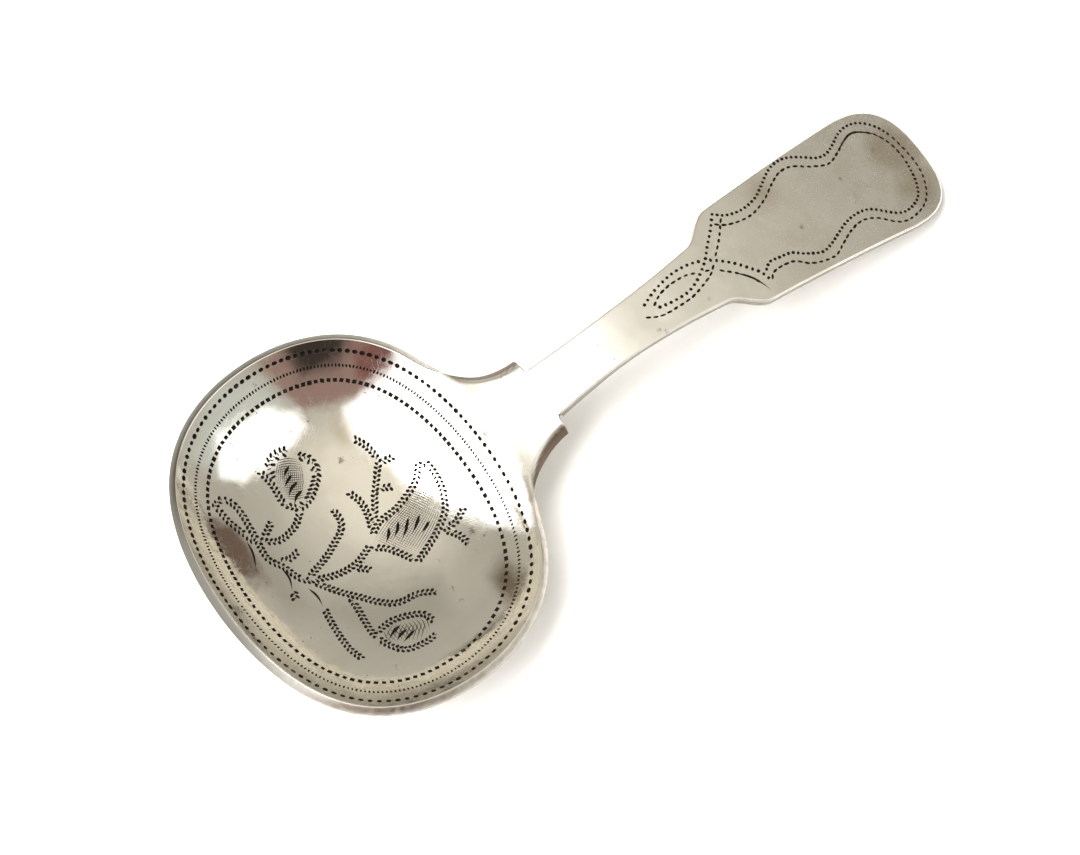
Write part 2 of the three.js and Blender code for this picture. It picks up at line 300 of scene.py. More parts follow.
def rings_of(count, levels, name, step):
    """A circle primitive, extruded again and again: step says what the operator does after each extrusion."""
    start()
    bpy.ops.mesh.primitive_circle_add(vertices=count, radius=1, fill_type="NOTHING")
    obj = bpy.context.object
    obj.name = obj.data.name = name
    edit_all()
    for level in range(levels):
        bpy.ops.mesh.extrude_region_move()
        step(level)
    return obj


# %% [markdown]
# ## The bowl
#
# The real bowl is raised from a disc of sheet: it is hammered round and round in rings, from the middle
# out. The mesh is made in the same rings. A circle is extruded inwards ring by ring and merged in the
# middle, then every vertex is moved onto the skin. Solidify gives the sheet its gauge, which grows
# towards the rim, and the filed rim gets two narrow bevels, because a hand-filed edge is never quite
# sharp.

# %% The bowl's edge, seen from above
END_STEPS, FLANK_STEPS, OVAL_STEPS = 12, 32, 108
AROUND = 2 * (END_STEPS + FLANK_STEPS + OVAL_STEPS)
BOWL_RINGS = 60
TINY = 1e-9


def squared_oval(angle, half_length, half_width, squareness):
    """The points of a slightly squared oval round the bowl's middle."""
    k = 4 * squareness * (np.sin(angle) * np.cos(angle)) ** 2
    reach = np.where(k < TINY, 1, np.sqrt(2 * (1 - np.sqrt(1 - k)) / np.maximum(k, TINY)))
    return np.stack([half_length * reach * np.cos(angle), half_width * reach * np.sin(angle)], -1)


def bowl_edge():
    """Anticlockwise from the middle of the neck's end: the shoulder's end, the flank's arc, the oval."""
    share = 1 - (1 - np.arange(END_STEPS) / END_STEPS) ** 1.5
    end = np.stack([np.full(END_STEPS, shoulder_x), SHOULDER_WIDTH / 2 * share], -1)
    turn = math.asin((flank_centre_x - flank_touch) / FLANK_RADIUS) - flank_angle
    angle = flank_angle + turn * np.arange(FLANK_STEPS) / FLANK_STEPS
    flank = np.stack([flank_centre_x - FLANK_RADIUS * np.sin(angle),
                      flank_centre_y - FLANK_RADIUS * np.cos(angle)], -1)
    first = math.atan2(float(oval_half(flank_touch)) / lip_width, flank_touch / lip_length)
    round_it = first + (math.pi - first) * np.arange(OVAL_STEPS + 1) / OVAL_STEPS
    oval = squared_oval(round_it, lip_length, lip_width, BOWL_SQUARENESS)
    half = np.concatenate([end, flank, oval])
    return np.concatenate([half, half[-2:0:-1] * (1, -1)])


edge = bowl_edge()
print("the bowl's edge has", len(edge), "points for", AROUND, "vertices")

# %% Raise the bowl
def shrink(level):
    left = BOWL_RINGS - level
    share = (left - 1) / left
    bpy.ops.transform.resize(value=(share, share, 1), center_override=(0, 0, 0))


CENTRE_CROWDING = 1.15
bowl = rings_of(AROUND, BOWL_RINGS - 1, "bowl_shell", shrink)
bpy.ops.mesh.extrude_region_move()
bpy.ops.mesh.merge(type="CENTER")
bpy.ops.object.mode_set(mode="OBJECT")

flat = read_points(bowl.data)
radius = np.hypot(flat[:, 0], flat[:, 1])
turn = np.round(np.arctan2(flat[:, 1], flat[:, 0]) / (2 * math.pi / AROUND)).astype(int) % AROUND
share = 1 - (1 - np.round(radius * BOWL_RINGS) / BOWL_RINGS).clip(0, 1) ** CENTRE_CROWDING
bowl_x, bowl_y = (edge[turn] * share[:, None]).T
place_points(bowl.data, np.stack([bowl_x, bowl_y, skin(bowl_x, bowl_y)], -1))
only(bowl)
face_out()
if bowl.data.polygons[0].normal.z < 0:
    edit_all()
    bpy.ops.mesh.flip_normals()
    bpy.ops.object.mode_set(mode="OBJECT")
print("bowl:", len(bowl.data.polygons), "faces, first normal z", round(bowl.data.polygons[0].normal.z, 2))

# %% Give the sheet its gauge
def gauge(x, y):
    thickening = smooth(bowl_share(x, y), 0.55, 1) * (1 - smooth(x, neck_foot_x, shoulder_x - 3))
    return SHEET + (RIM_THICKNESS - SHEET) * thickening


group = bowl.vertex_groups.new(name="gauge")
for index, weight in enumerate(gauge(bowl_x, bowl_y) / RIM_THICKNESS):
    group.add([index], float(weight), "REPLACE")
wall = bowl.modifiers.new("gauge", "SOLIDIFY")
wall.thickness, wall.offset, wall.vertex_group = RIM_THICKNESS * MM, -1, group.name
bpy.ops.object.modifier_apply(modifier=wall.name)
print("solidified:", len(bowl.data.polygons), "faces")

# %% [markdown]
# ## The rim
#
# The smith files the rim square to the wall and then takes off its two sharp arrises. Here the rim's
# faces are the ones that Solidify made last, so they are easy to find. Their upper and lower edges get a
# weight, and one Bevel modifier rounds only those. The underside is worn flat where the spoon stands, so
# no point lies below the table.

# %% Round the rim's arrises and wear the foot flat
ARRIS_ABOVE, ARRIS_BELOW, ARRIS_STEPS = 0.14, 0.24, 3
STEM_JOINT, JOINT_MARGIN, ON_SKIN = 6.4, 0.5, 0.01


def round_edges(obj, weights, width):
    """Bevels the edges that weights names, each by its weight times width in millimetres."""
    attribute = obj.data.attributes.new("bevel_weight_edge", "FLOAT", "EDGE")
    attribute.data.foreach_set("value", weights)
    bevel = obj.modifiers.new("arris", "BEVEL")
    bevel.limit_method, bevel.width, bevel.segments = "WEIGHT", width * MM, ARRIS_STEPS
    bevel.use_clamp_overlap = False
    only(obj)
    bpy.ops.object.modifier_apply(modifier=bevel.name)


def wear_flat(mesh):
    points = read_points(mesh)
    points[:, 2] = points[:, 2].clip(0)
    mesh.vertices.foreach_set("co", points.ravel())
    mesh.update()


filed = list(bowl.data.polygons)[-AROUND:]
corners = to_millimetres(read_points(bowl.data))
on_skin = corners[:, 2] > skin(corners[:, 0], corners[:, 1]) - ON_SKIN
around_rim = {key for face in filed for key in face.edge_keys}
weights = np.zeros(len(bowl.data.edges))
for number, key in enumerate(bowl.data.edge_keys):
    ends = corners[list(key)]
    in_joint = ends[:, 0].max() > shoulder_x - JOINT_MARGIN and np.abs(ends[:, 1]).min() < STEM_JOINT / 2
    if key in around_rim and on_skin[key[0]] == on_skin[key[1]] and not in_joint:
        weights[number] = ARRIS_ABOVE / ARRIS_BELOW if on_skin[key[0]] else 1
wear_flat(bowl.data)
round_edges(bowl, weights, ARRIS_BELOW)
print("rim arrises:", int((weights > 0).sum()), "edges,", len(bowl.data.polygons), "faces")

# %% [markdown]
# ## The handle
#
# The handle is cut from flat sheet with a piercing saw, filed to its outline, and bent. The mesh follows
# the same steps. A many-sided circle becomes the outline seen from above, an inset keeps a clean band
# beside the edge, and the middle is cut into a fine grid with bisect, so that it can bend. Extruding the
# sheet gives it its underside. Only then is it bent: every vertex goes to its depth under the skin. The
# tongue that laps under the neck, called the heel, is part of the same sheet and lies lower, one step
# down from the face.

# %% The handle's outline and thickness
def handle_half(x):
    flare = (STEM_FLARE - STEM_WAIST) / 2 / (fiddle_x - waist_x) ** 2
    stem = STEM_WAIST / 2 + flare * (x - waist_x) ** 2
    round_x = end_x - FIDDLE_ROUND
    widening = np.clip((x - fiddle_x - FIDDLE_SHOULDER) / (round_x - fiddle_x - FIDDLE_SHOULDER), 0, 1)
    fiddle = FIDDLE_FOOT_WIDTH / 2 + (FIDDLE_WIDTH - FIDDLE_FOOT_WIDTH) / 2 * widening
    whole = stem + (fiddle - stem) * smooth(x, fiddle_x, fiddle_x + FIDDLE_SHOULDER)
    rounding = np.clip((x - round_x) / FIDDLE_ROUND, 0, 1) ** ROUND_POWER
    return whole * (1 - rounding) ** (1 / ROUND_POWER)


def heel_half(x):
    round_x = heel_tip_x + HEEL_ROUND
    return HEEL_WIDTH / 2 * np.sqrt(1 - np.clip((round_x - x) / HEEL_ROUND, 0, 1) ** 2)


def handle_thickness(x):
    near = NECK_THICKNESS + (CREST_THICKNESS - NECK_THICKNESS) * smooth(x, shoulder_x, crest_x)
    far = CREST_THICKNESS + (END_THICKNESS - CREST_THICKNESS) * (x - crest_x) / (end_x - crest_x)
    return np.where(x < crest_x, near, far)


def heel_thickness(x):
    full = NECK_THICKNESS - SHEET - JOINT_GAP
    return HEEL_TIP_THICKNESS + (full - HEEL_TIP_THICKNESS) * smooth(x, heel_tip_x, shoulder_x)


def spaced(points, pitch):
    """The same line with points at an even pitch."""
    steps = np.hypot(*np.diff(points, axis=0).T)
    run = np.concatenate([[0], np.cumsum(steps)])
    places = np.linspace(0, run[-1], max(int(round(run[-1] / pitch)), 2) + 1)
    return np.stack([np.interp(places, run, points[:, 0]), np.interp(places, run, points[:, 1])], -1)


def side(half, start_x, stop_x, pitch):
    x = start_x + (stop_x - start_x) * np.sin(np.linspace(0, math.pi / 2, 3000))
    return spaced(np.stack([x, half(x)], -1), pitch)


def mirrored(upper):
    """A closed outline, anticlockwise, from its upper half listed from the tip at the right to the left."""
    return np.concatenate([upper, upper[-2:0:-1] * (1, -1)])


OUTLINE_PITCH = 0.32
STEP_LEAN = 0.006
face_x = seat_x + STEP_LEAN
body_side = side(handle_half, face_x, end_x, OUTLINE_PITCH)[::-1]
heel_side = side(heel_half, seat_x, heel_tip_x, OUTLINE_PITCH)
handle_outline = mirrored(np.concatenate([body_side, heel_side]))
print("handle outline:", len(handle_outline), "points, widest", round(2 * body_side[:, 1].max(), 2), "mm")

# %% A flat sheet with an outline
NEAR = 1e-7
HALF_SHEET = 0.5


def sheet_of(name, outline, border, grid, steps):
    """A sheet 1 mm thick with its face at z = 0: a band beside its edge, a grid inside, and cuts at steps."""
    start()
    bpy.ops.mesh.primitive_circle_add(vertices=len(outline), radius=1, fill_type="NGON")
    obj = bpy.context.object
    obj.name = obj.data.name = name
    flat = np.concatenate([outline, np.zeros((len(outline), 1))], 1) * MM
    obj.data.vertices.foreach_set("co", flat.ravel())
    edit_all()
    bpy.ops.mesh.inset(thickness=border * MM)
    bpy.ops.mesh.hide(unselected=True)
    for axis in (0, 1):
        low, high = outline[:, axis].min(), outline[:, axis].max()
        for place in np.arange(math.ceil(low / grid) * grid, high, grid):
            bpy.ops.mesh.select_all(action="SELECT")
            across = [0, 0, 0]
            across[axis] = 1
            bpy.ops.mesh.bisect(plane_co=[c * place * MM for c in across], plane_no=across, threshold=NEAR)
    bpy.ops.mesh.reveal()
    for place in steps:
        bpy.ops.mesh.select_all(action="SELECT")
        bpy.ops.mesh.bisect(plane_co=(place * MM, 0, 0), plane_no=(1, 0, 0), threshold=NEAR)
    bpy.ops.mesh.select_all(action="SELECT")
    bpy.ops.mesh.extrude_region_move(TRANSFORM_OT_translate={"value": (0, 0, -MM)})
    face_out()
    return obj


def outline_edges(obj, outline):
    """For each edge: 0 off the outline, 1 along its face, 2 along its back."""
    points = read_points(obj.data) / MM
    at = {tuple(np.round(p, 3)) for p in outline}
    listed = np.array([tuple(np.round(p[:2], 3)) in at for p in points])
    face = points[:, 2] > -HALF_SHEET
    found = np.zeros(len(obj.data.edges))
    for number, (a, b) in enumerate(obj.data.edge_keys):
        if listed[a] and listed[b] and face[a] == face[b]:
            found[number] = 1 if face[a] else 2
    return found


def bend(obj, face_depth, back_depth):
    """Moves the face and the back of a flat sheet to their depths under the skin."""
    points = read_points(obj.data) / MM
    x, y, face = points[:, 0], points[:, 1], points[:, 2] > -HALF_SHEET
    place_points(obj.data, under(x, y, np.where(face, face_depth(x, y), back_depth(x, y))))


# %% Cut and bend the handle
HANDLE_GRID, HANDLE_BORDER = 0.5, 0.45
FACE_ARRIS, BACK_ARRIS = 0.28, 0.2


def handle_face(x, y):
    return np.where(x < face_x - STEP_LEAN / 2, gauge(x, y) + JOINT_GAP, 0)


def handle_back(x, y):
    lap = gauge(x, y) + JOINT_GAP + heel_thickness(x)
    return np.where(x < face_x - STEP_LEAN / 2, lap, handle_thickness(x))


handle = sheet_of("handle_plate", handle_outline, HANDLE_BORDER, HANDLE_GRID, (seat_x, face_x))
kinds = outline_edges(handle, handle_outline)
flat = read_points(handle.data) / MM
weights = np.zeros(len(kinds))
for number, (a, b) in enumerate(handle.data.edge_keys):
    beyond_seat = min(flat[a, 0], flat[b, 0]) > face_x - STEP_LEAN / 4
    if kinds[number] == 2:
        weights[number] = BACK_ARRIS / FACE_ARRIS
    elif kinds[number] == 1 and beyond_seat:
        weights[number] = 1
bend(handle, handle_face, handle_back)
wear_flat(handle.data)
round_edges(handle, weights, FACE_ARRIS)
print("handle:", len(handle.data.polygons), "faces,", int((weights > 0).sum()), "edges rounded")

# %% [markdown]
# ## The solder
#
# Hard silver solder runs into the lap and stands up in the joint across the neck, where it is filed flush
# and shows only as a hairline. Round the heel it leaves a small hollow bead. It is one more sheet under
# the skin: as wide as the heel and its bead under the neck, and as wide as the handle's front where it
# comes up in the joint.

# %% Run the solder in
SOLDER_BEAD, HAIRLINE, SOLDER_GRID, SOLDER_BORDER, BEAD_FOOT = 0.3, 0.008, 0.4, 0.05, 0.06
riser_x = shoulder_x + HAIRLINE


def bead_half(x):
    """The heel's outline, wider by the bead."""
    wide = HEEL_ROUND + SOLDER_BEAD
    reach = np.clip((heel_tip_x + HEEL_ROUND - x) / wide, 0, 1)
    return (HEEL_WIDTH / 2 + SOLDER_BEAD) * np.sqrt(1 - reach**2)


def outside_heel(x, y):
    """0 under the heel, rising to 1 at the bead's outer edge."""
    across = np.maximum(np.abs(y) - HEEL_WIDTH / 2, 0)
    reach = np.maximum(heel_tip_x + HEEL_ROUND - x, 0)
    radial = np.hypot(reach / HEEL_ROUND, y / (HEEL_WIDTH / 2)) - 1
    beyond = np.where(reach > 0, np.maximum(radial, 0) * HEEL_ROUND, across)
    return np.clip(beyond / SOLDER_BEAD, 0, 1)


def solder_face(x, y):
    return np.where(x < riser_x - HAIRLINE / 2, gauge(x, y) + HAIRLINE, HAIRLINE / 3)


def solder_back(x, y):
    film = JOINT_GAP - 2 * HAIRLINE
    return gauge(x, y) + HAIRLINE + film * (BEAD_FOOT + (1 - BEAD_FOOT) * (1 - outside_heel(x, y)) ** 2)


riser_half = float(handle_half(face_x)) - FACE_ARRIS / 2
lap_side = side(bead_half, shoulder_x, heel_tip_x - SOLDER_BEAD, OUTLINE_PITCH)
riser = [(seat_x - HAIRLINE, 0), (seat_x - HAIRLINE, riser_half), (riser_x, riser_half)]
solder_outline = mirrored(np.concatenate([riser, lap_side]))
solder = sheet_of("solder_fill", solder_outline, SOLDER_BORDER, SOLDER_GRID, (shoulder_x, riser_x))
bend(solder, solder_face, solder_back)
print("solder:", len(solder.data.polygons), "faces")

# %% [markdown]
# ## How the ornament is cut
#
# Bright-cut engraving takes tiny chips out of the silver with a polished graver. The rings are rows of
# single pecks. The stems are wriggle work: the graver rocks from corner to corner, so it leaves two rows
# of small slanting pits, out of step with each other. Each kind of peck is modelled once as a small cone
# with its point cut off, copied to every place along the lines, and all the copies are taken out of the
# metal in one Boolean. The lines themselves are only a few points each, with a smooth curve through them.

# %% Lines to cut along
def through(points, steps=24):
    """A smooth line through a few points."""
    p = np.array(points, float)
    p = np.concatenate([2 * p[:1] - p[1:2], p, 2 * p[-1:] - p[-2:-1]])
    t = np.linspace(0, 1, steps, endpoint=False)[:, None]
    parts = []
    for a, b, c, d in zip(p, p[1:], p[2:], p[3:]):
        parts.append(b + t / 2 * (c - a + t * (2 * a - 5 * b + 4 * c - d + t * (3 * b - 3 * c + d - a))))
    return np.concatenate(parts + [p[-2:-1]])


def along(line, pitch, start=0.0, aside=0.0):
    """Places at an even pitch along a line, and the line's direction there. aside moves them to its left."""
    step = np.diff(line, axis=0)
    length = np.hypot(*step.T)
    run = np.concatenate([[0], np.cumsum(length)])
    places = np.arange(start, run[-1] + 0.01, pitch)
    middle = (run[1:] + run[:-1]) / 2
    heading = np.stack([np.interp(places, middle, step[:, k] / length) for k in (0, 1)], -1)
    at = np.stack([np.interp(places, run, line[:, k]) for k in (0, 1)], -1)
    left = np.stack([-heading[:, 1], heading[:, 0]], -1)
    return at + aside * left, np.arctan2(heading[:, 1], heading[:, 0])


def half_ring(middle_x, half_length, half_width, squareness, side):
    """Half of a ring round the bowl: side is 1 for the upper half, -1 for the lower."""
    whole = squared_oval(np.linspace(0, math.pi, 361), half_length, half_width, squareness)
    return whole * (1, side) + (middle_x, 0)


# %% The graver's pecks
def peck(name, corners, tip):
    """A cone with its point cut off, as unit points: its mouth is at z = 1 and its bottom at z = -1."""
    start()
    bpy.ops.mesh.primitive_cone_add(vertices=corners, radius1=tip, radius2=1, depth=2)
    obj = bpy.context.object
    edit_all()
    bpy.ops.transform.rotate(value=math.radians(90), orient_axis="Z", center_override=(0, 0, 0))
    bpy.ops.object.mode_set(mode="OBJECT")
    points = read_points(obj.data)
    faces = [list(face.vertices) for face in obj.data.polygons]
    bpy.data.objects.remove(obj)
    print(name, "peck has", len(faces), "faces")
    return points, faces


PECKS = {"round": peck("round", 6, 0.55), "square": peck("square", 4, 0.6), "slit": peck("slit", 8, 0.35)}
# how far a cutter stands out of the metal, in millimetres
MOUTH = 0.06
UNEVEN = (0.85, 1.15)
PECK_REACH = 0.42


def cut(kind, at, heading, length, width, depth, jitter=0.12):
    """One row of equal pecks: their kind, places, directions and size. jitter is the hand's unevenness."""
    return [(kind, x, y, a + random.gauss(0, jitter), length * random.uniform(*UNEVEN),
             width * random.uniform(*UNEVEN), depth) for (x, y), a in zip(at, heading)]


def spread(pecks):
    """Leaves out a peck that would run into one cut before it."""
    kept = []
    placed = np.zeros((0, 3))
    for item in pecks:
        kind, x, y, heading, length, width, depth = item
        reach = math.sqrt(length * width) * PECK_REACH
        away = np.hypot(placed[:, 0] - x, placed[:, 1] - y)
        if len(placed) == 0 or (away > placed[:, 2] + reach).all():
            kept.append(item)
            placed = np.concatenate([placed, [[x, y, reach]]])
    return kept


def on_the_skin(x, y):
    """The skin's point at x and y, and its normal there."""
    x, y = np.array(x), np.array(y)
    return np.array([x, y, float(skin(x, y))]), skin_normal(x, y)


def cutter_of(name, pecks):
    """One mesh with every peck standing in the skin at its place."""
    points, faces = [], []
    for kind, x, y, heading, length, width, depth in pecks:
        unit, unit_faces = PECKS[kind]
        spot, normal = on_the_skin(x, y)
        ahead = np.array([math.cos(heading), math.sin(heading), 0])
        ahead = ahead - normal * (ahead @ normal)
        ahead /= np.linalg.norm(ahead)
        left = np.cross(normal, ahead)
        height = np.where(unit[:, 2] > 0, MOUTH, -depth)
        base = len(points)
        for (u, v, _), h in zip(unit, height):
            points.append(spot + ahead * (u * length / 2) + left * (v * width / 2) + normal * h)
        faces += [[base + i for i in face] for face in unit_faces]
    return add_mesh(name, points, faces)


DARK_CUT, BRIGHT_CUT, FILED = 1, 2, 3


def take_out(piece, cutter, finish=DARK_CUT):
    """Cuts cutter out of piece. finish is the material slot that the cut faces get."""
    cutter.data.polygons.foreach_set("material_index", [finish] * len(cutter.data.polygons))
    only(piece)
    boolean = piece.modifiers.new("engraving", "BOOLEAN")
    boolean.operation, boolean.solver, boolean.object = "DIFFERENCE", "MANIFOLD", cutter
    bpy.ops.object.modifier_apply(modifier=boolean.name)
    bpy.data.objects.remove(cutter)


# %% [markdown]
# ## The three rings
#
# Three ovals follow the bowl's edge. The outer one is a row of small oval pecks, the middle one a row of
# fine strokes set across the line, and the inner one a row of square pecks. The engraver took longer
# steps on the side nearer to them, so each oval is drawn as two halves with a pitch of their own.

# %% Peck the rings
RINGS = (
    # kind of peck, the oval's middle, half length, half width and squareness, pitches of its two halves,
    # turn of a peck across the line, its length, width and depth, its unevenness
    ("round", (-0.2, 16.1, 19.9, 0.31), (0.8, 0.96), 0, (0.7, 0.62, 0.17), 0.12),
    ("slit", (-0.3, 14.9, 18.6, 0.33), (0.38, 0.45), 90, (0.54, 0.28, 0.13), 0.12),
    ("square", (-0.4, 13.7, 17.3, 0.34), (0.69, 0.83), 45, (0.72, 0.72, 0.15), 0.08),
)
random.seed(7)
rings = []
for half, hand in enumerate((1, -1)):
    for kind, oval, pitches, turn, size, jitter in RINGS:
        at, heading = along(half_ring(*oval, hand), pitches[half], pitches[half] / 2)
        rings += cut(kind, at, heading + math.radians(turn), *size, jitter)
print("pecks in the rings:", len(rings))

# %% [markdown]
# ## The spray
#
# The spray grows from a curled stem at the bowl's left side. It has two open flowers, a bud and a few
# bare twigs. Its lines are listed by name, in millimetres from the middle of the bowl, with the handle to
# the right, in the order in which an engraver would cut them.

# %% The lines of the spray
SPRAY = {
    "curl outside": [(-11.2, 10.7), (-10.3, 11.1), (-9.5, 10.5), (-9.2, 9.3), (-9.3, 7.7), (-9.5, 5.7)],
    "curl inside": [(-11.1, 10.5), (-10.9, 8.9), (-10.5, 7.6), (-9.9, 5.9)],
    "stem": [(-9.5, 5.7), (-9.7, 3.4), (-8.8, 1.8), (-8.1, -0.1), (-7.3, -0.9)],
    "branch to the first flower": [(-9.5, 5.7), (-7.6, 4.6), (-5.3, 5.0), (-3.9, 6.0)],
    "first tendril": [(-8.4, 5.8), (-7.0, 6.7)],
    "second tendril": [(-9.4, 2.9), (-7.8, 2.3), (-6.4, 2.6)],
    "third tendril": [(-9.6, -1.2), (-9.9, -2.1)],
    "long twig": [(-6.9, -0.4), (-4.3, 0.5), (-2.7, 1.3), (-1.3, 2.1), (-0.7, 3.2), (-0.7, 4.4)],
    "branch to the big flower": [(-7.3, -0.9), (-4.5, -1.8), (-2.1, -1.9), (0.2, -1.1)],
    "big flower, left": [(9.6, 3.1), (8.2, 1.7), (5.3, 0.7), (2.7, 0.5), (1.1, -0.3)],
    "big flower, right": [(9.6, 3.1), (10.3, 2.2), (10.2, 0), (9.6, -1.7), (8.6, -3.1), (6.2, -4.5),
                          (3.3, -5.6)],
    "big flower, foot": [(0, -1.3), (1.4, -2.3), (2.4, -3.8), (3.3, -5.6)],
    "upper twig": [(1.1, -0.3), (1.9, 1.4), (2.2, 3.3), (1.8, 5.0)],
    "upper stem": [(1.3, 0), (2.9, 1.8), (3.9, 3.2), (5.6, 5.1), (6.3, 6.0), (6.2, 7.9), (5.5, 9.4)],
    "upper stem's twig": [(6.1, 5.7), (7.0, 5.5), (7.9, 5.3)],
    "upper stem's short twig": [(4.2, 3.3), (5.0, 3.3), (5.9, 2.8)],
    "side twig": [(7.4, -4.3), (9.0, -4.6), (10.5, -4.0)],
    "side twig, lower": [(7.4, -4.3), (8.4, -5.9), (8.7, -7.4)],
    "low twig": [(-2.9, -2.1), (-2.0, -2.7), (-1.2, -3.5)],
    "lower stem": [(-7.3, -0.9), (-5.6, -3.4), (-4.1, -5.2), (-2.6, -7.0), (-1.0, -8.2), (1.2, -8.6),
                   (2.9, -9.6)],
    "bud's stem": [(-4.9, -4.3), (-5.0, -6.5), (-5.3, -9.0), (-5.2, -10.2)],
    "bud, upper side": [(-4.8, -9.7), (-2.9, -9.5), (-1.2, -10.0), (0.3, -10.9), (0.7, -12.2)],
    "bud, lower side": [(-5.1, -10.7), (-4.6, -12.0), (-3.5, -13.3), (-1.4, -13.8), (0, -13.7)],
    "hanging twig": [(-7.9, -4.6), (-8.0, -4.9), (-8.3, -7.0), (-8.4, -9.6), (-8.0, -11.5)],
    "first flower, left": [(-3.8, 6.6), (-4.7, 7.8), (-4.6, 10.1), (-4.9, 11.8)],
    "first flower, top": [(-4.6, 10.1), (-3.8, 11.7), (-2.6, 12.4), (-1.1, 12.2)],
    "first flower, right": [(-0.4, 11.1), (0.4, 10.1), (0.1, 8.6), (-1.2, 7.4), (-2.6, 6.6), (-3.9, 6.5)],
    "first flower, tip": [(-0.3, 9.2), (1.0, 9.0)],
}
STEM_CUTS = {
    "beside the curl": [(-10.5, 6.2), (-10.7, 4.6), (-11.6, 2.6)],
    "third tendril": [(-9.1, 1.8), (-9.0, 0.5), (-9.6, -1.0)],
    "hanging twig": [(-8.0, -1.5), (-7.7, -2.8), (-7.9, -4.2)],
}
PETAL_CUTS = {
    "big flower": [
        [(2.9, -0.8), (2.5, -1.3), (2.0, -1.7)], [(4.1, -0.8), (3.7, -1.3), (3.1, -1.7)],
        [(5.2, -1.1), (4.5, -1.8), (3.6, -2.4)], [(6.3, -1.6), (5.5, -2.2), (4.8, -2.6)],
        [(6.7, -2.8), (6.2, -3.0), (5.7, -3.2)]],
    "first flower": [
        [(-2.1, 10.7), (-2.5, 10.5), (-2.9, 10.2)], [(-2.4, 9.8), (-2.9, 9.6), (-3.4, 9.3)],
        [(-2.3, 8.9), (-3.1, 8.7), (-3.7, 8.2)], [(-2.4, 7.9), (-3.1, 7.7), (-3.7, 7.2)]],
    "bud": [
        [(-2.6, -10.5), (-3.4, -10.7), (-4.2, -11.1)], [(-2.3, -11.3), (-2.9, -11.4), (-3.5, -11.7)],
        [(-1.7, -11.9), (-2.4, -12.1), (-3.1, -12.3)]],
}
print(len(SPRAY), "lines of wriggle work,", len(STEM_CUTS), "long cuts and", len(PETAL_CUTS), "flowers")

# %% [markdown]
# ## Wriggle work, long cuts and shading
#
# Each line of wriggle work becomes two rows of slanting pits, joined by a faint zigzag. On the first
# flower the graver rocked wider, so its lines are bolder. A long cut is one stroke that swells and runs
# out, so it is a small boat-shaped strip along its own curve. The petals are shaded by two sets of
# hair-fine grooves. Each set has a first and a last groove, and the ones between are blended from those
# two.

# %% Rows of pits, and strokes along a curve
WRIGGLE_PITCH, WRIGGLE_GAP, WRIGGLE_SLANT, BOLD_SLANT = 0.5, 0.46, 0.9, 0.5
WRIGGLE_PIT, WRIGGLE_LINK = (0.58, 0.4, 0.14), (0.5, 0.24, 0.06)
BOLD_LINES = {
    "first flower, top": 1.45, "first flower, right": 1.25, "first flower, tip": 1.2, "third tendril": 1.2}


def wriggle(line, bold, pitch=WRIGGLE_PITCH):
    """bold is how many times wider than usual the tool rocked."""
    pits = []
    length, width, depth = WRIGGLE_PIT
    slant = WRIGGLE_SLANT + BOLD_SLANT * (bold - 1)
    for hand, first in ((1, 0), (-1, pitch / 2)):
        at, heading = along(line, pitch, first, hand * WRIGGLE_GAP * bold / 2)
        pits += cut("round", at, heading + hand * slant, length * bold, width, depth, jitter=0.22)
    return pits


def links(line, bold, pitch=WRIGGLE_PITCH):
    """The faint cuts that the graver leaves between the two rows as it rocks across."""
    at, heading = along(line, pitch / 2, pitch / 4)
    hand = np.where(np.arange(len(at)) % 2 == 0, 1, -1)
    slant = math.atan2(WRIGGLE_GAP * bold, pitch / 2)
    length, width, depth = WRIGGLE_LINK
    return cut("slit", at, heading - hand * slant, length * bold, width, depth, jitter=0.1)


def strokes_of(name, lines, width, depth, parts=6, fullest=0.7, least=0.12, just_under=0.9999):
    """Strokes along lines, as boats with a keel: widest a third of the way, nearly pointed at both ends."""
    points, faces = [], []
    for line in lines:
        at, heading = along(line, np.hypot(*np.diff(line, axis=0).T).sum() / parts * just_under)
        base = len(points)
        for i, ((x, y), a) in enumerate(zip(at, heading)):
            share = i / (len(at) - 1)
            swell = max(math.sin(math.pi * share**fullest), least)
            spot, normal = on_the_skin(x, y)
            left = np.cross(normal, (math.cos(a), math.sin(a), 0))
            left /= np.linalg.norm(left)
            mouth = spot + normal * MOUTH
            half = left * (width / 2 * swell * (1 + MOUTH / depth))
            points += [mouth - half, spot - normal * (depth * swell), mouth + half]
        faces.append([base, base + 1, base + 2])
        for k in range(base, len(points) - 3, 3):
            faces += [[k, k + 3, k + 4, k + 1], [k + 1, k + 4, k + 5, k + 2], [k + 2, k + 5, k + 3, k]]
        faces.append([len(points) - 1, len(points) - 2, len(points) - 3])
    obj = add_mesh(name, points, faces)
    only(obj)
    face_out()
    return obj


def lengthened(line, more):
    """The same line, run on in its own direction at both ends."""
    before = line[0] - line[1]
    after = line[-1] - line[-2]
    first = line[0] + before / np.hypot(*before) * more
    last = line[-1] + after / np.hypot(*after) * more
    return np.concatenate([[first], line, [last]])


def between(first, last, count):
    """Lines blended from the first to the last, none of them on those two."""
    first, last = through(first), through(last)
    shares = (np.arange(count) + 0.5) / count
    return [first + (last - first) * share for share in shares]


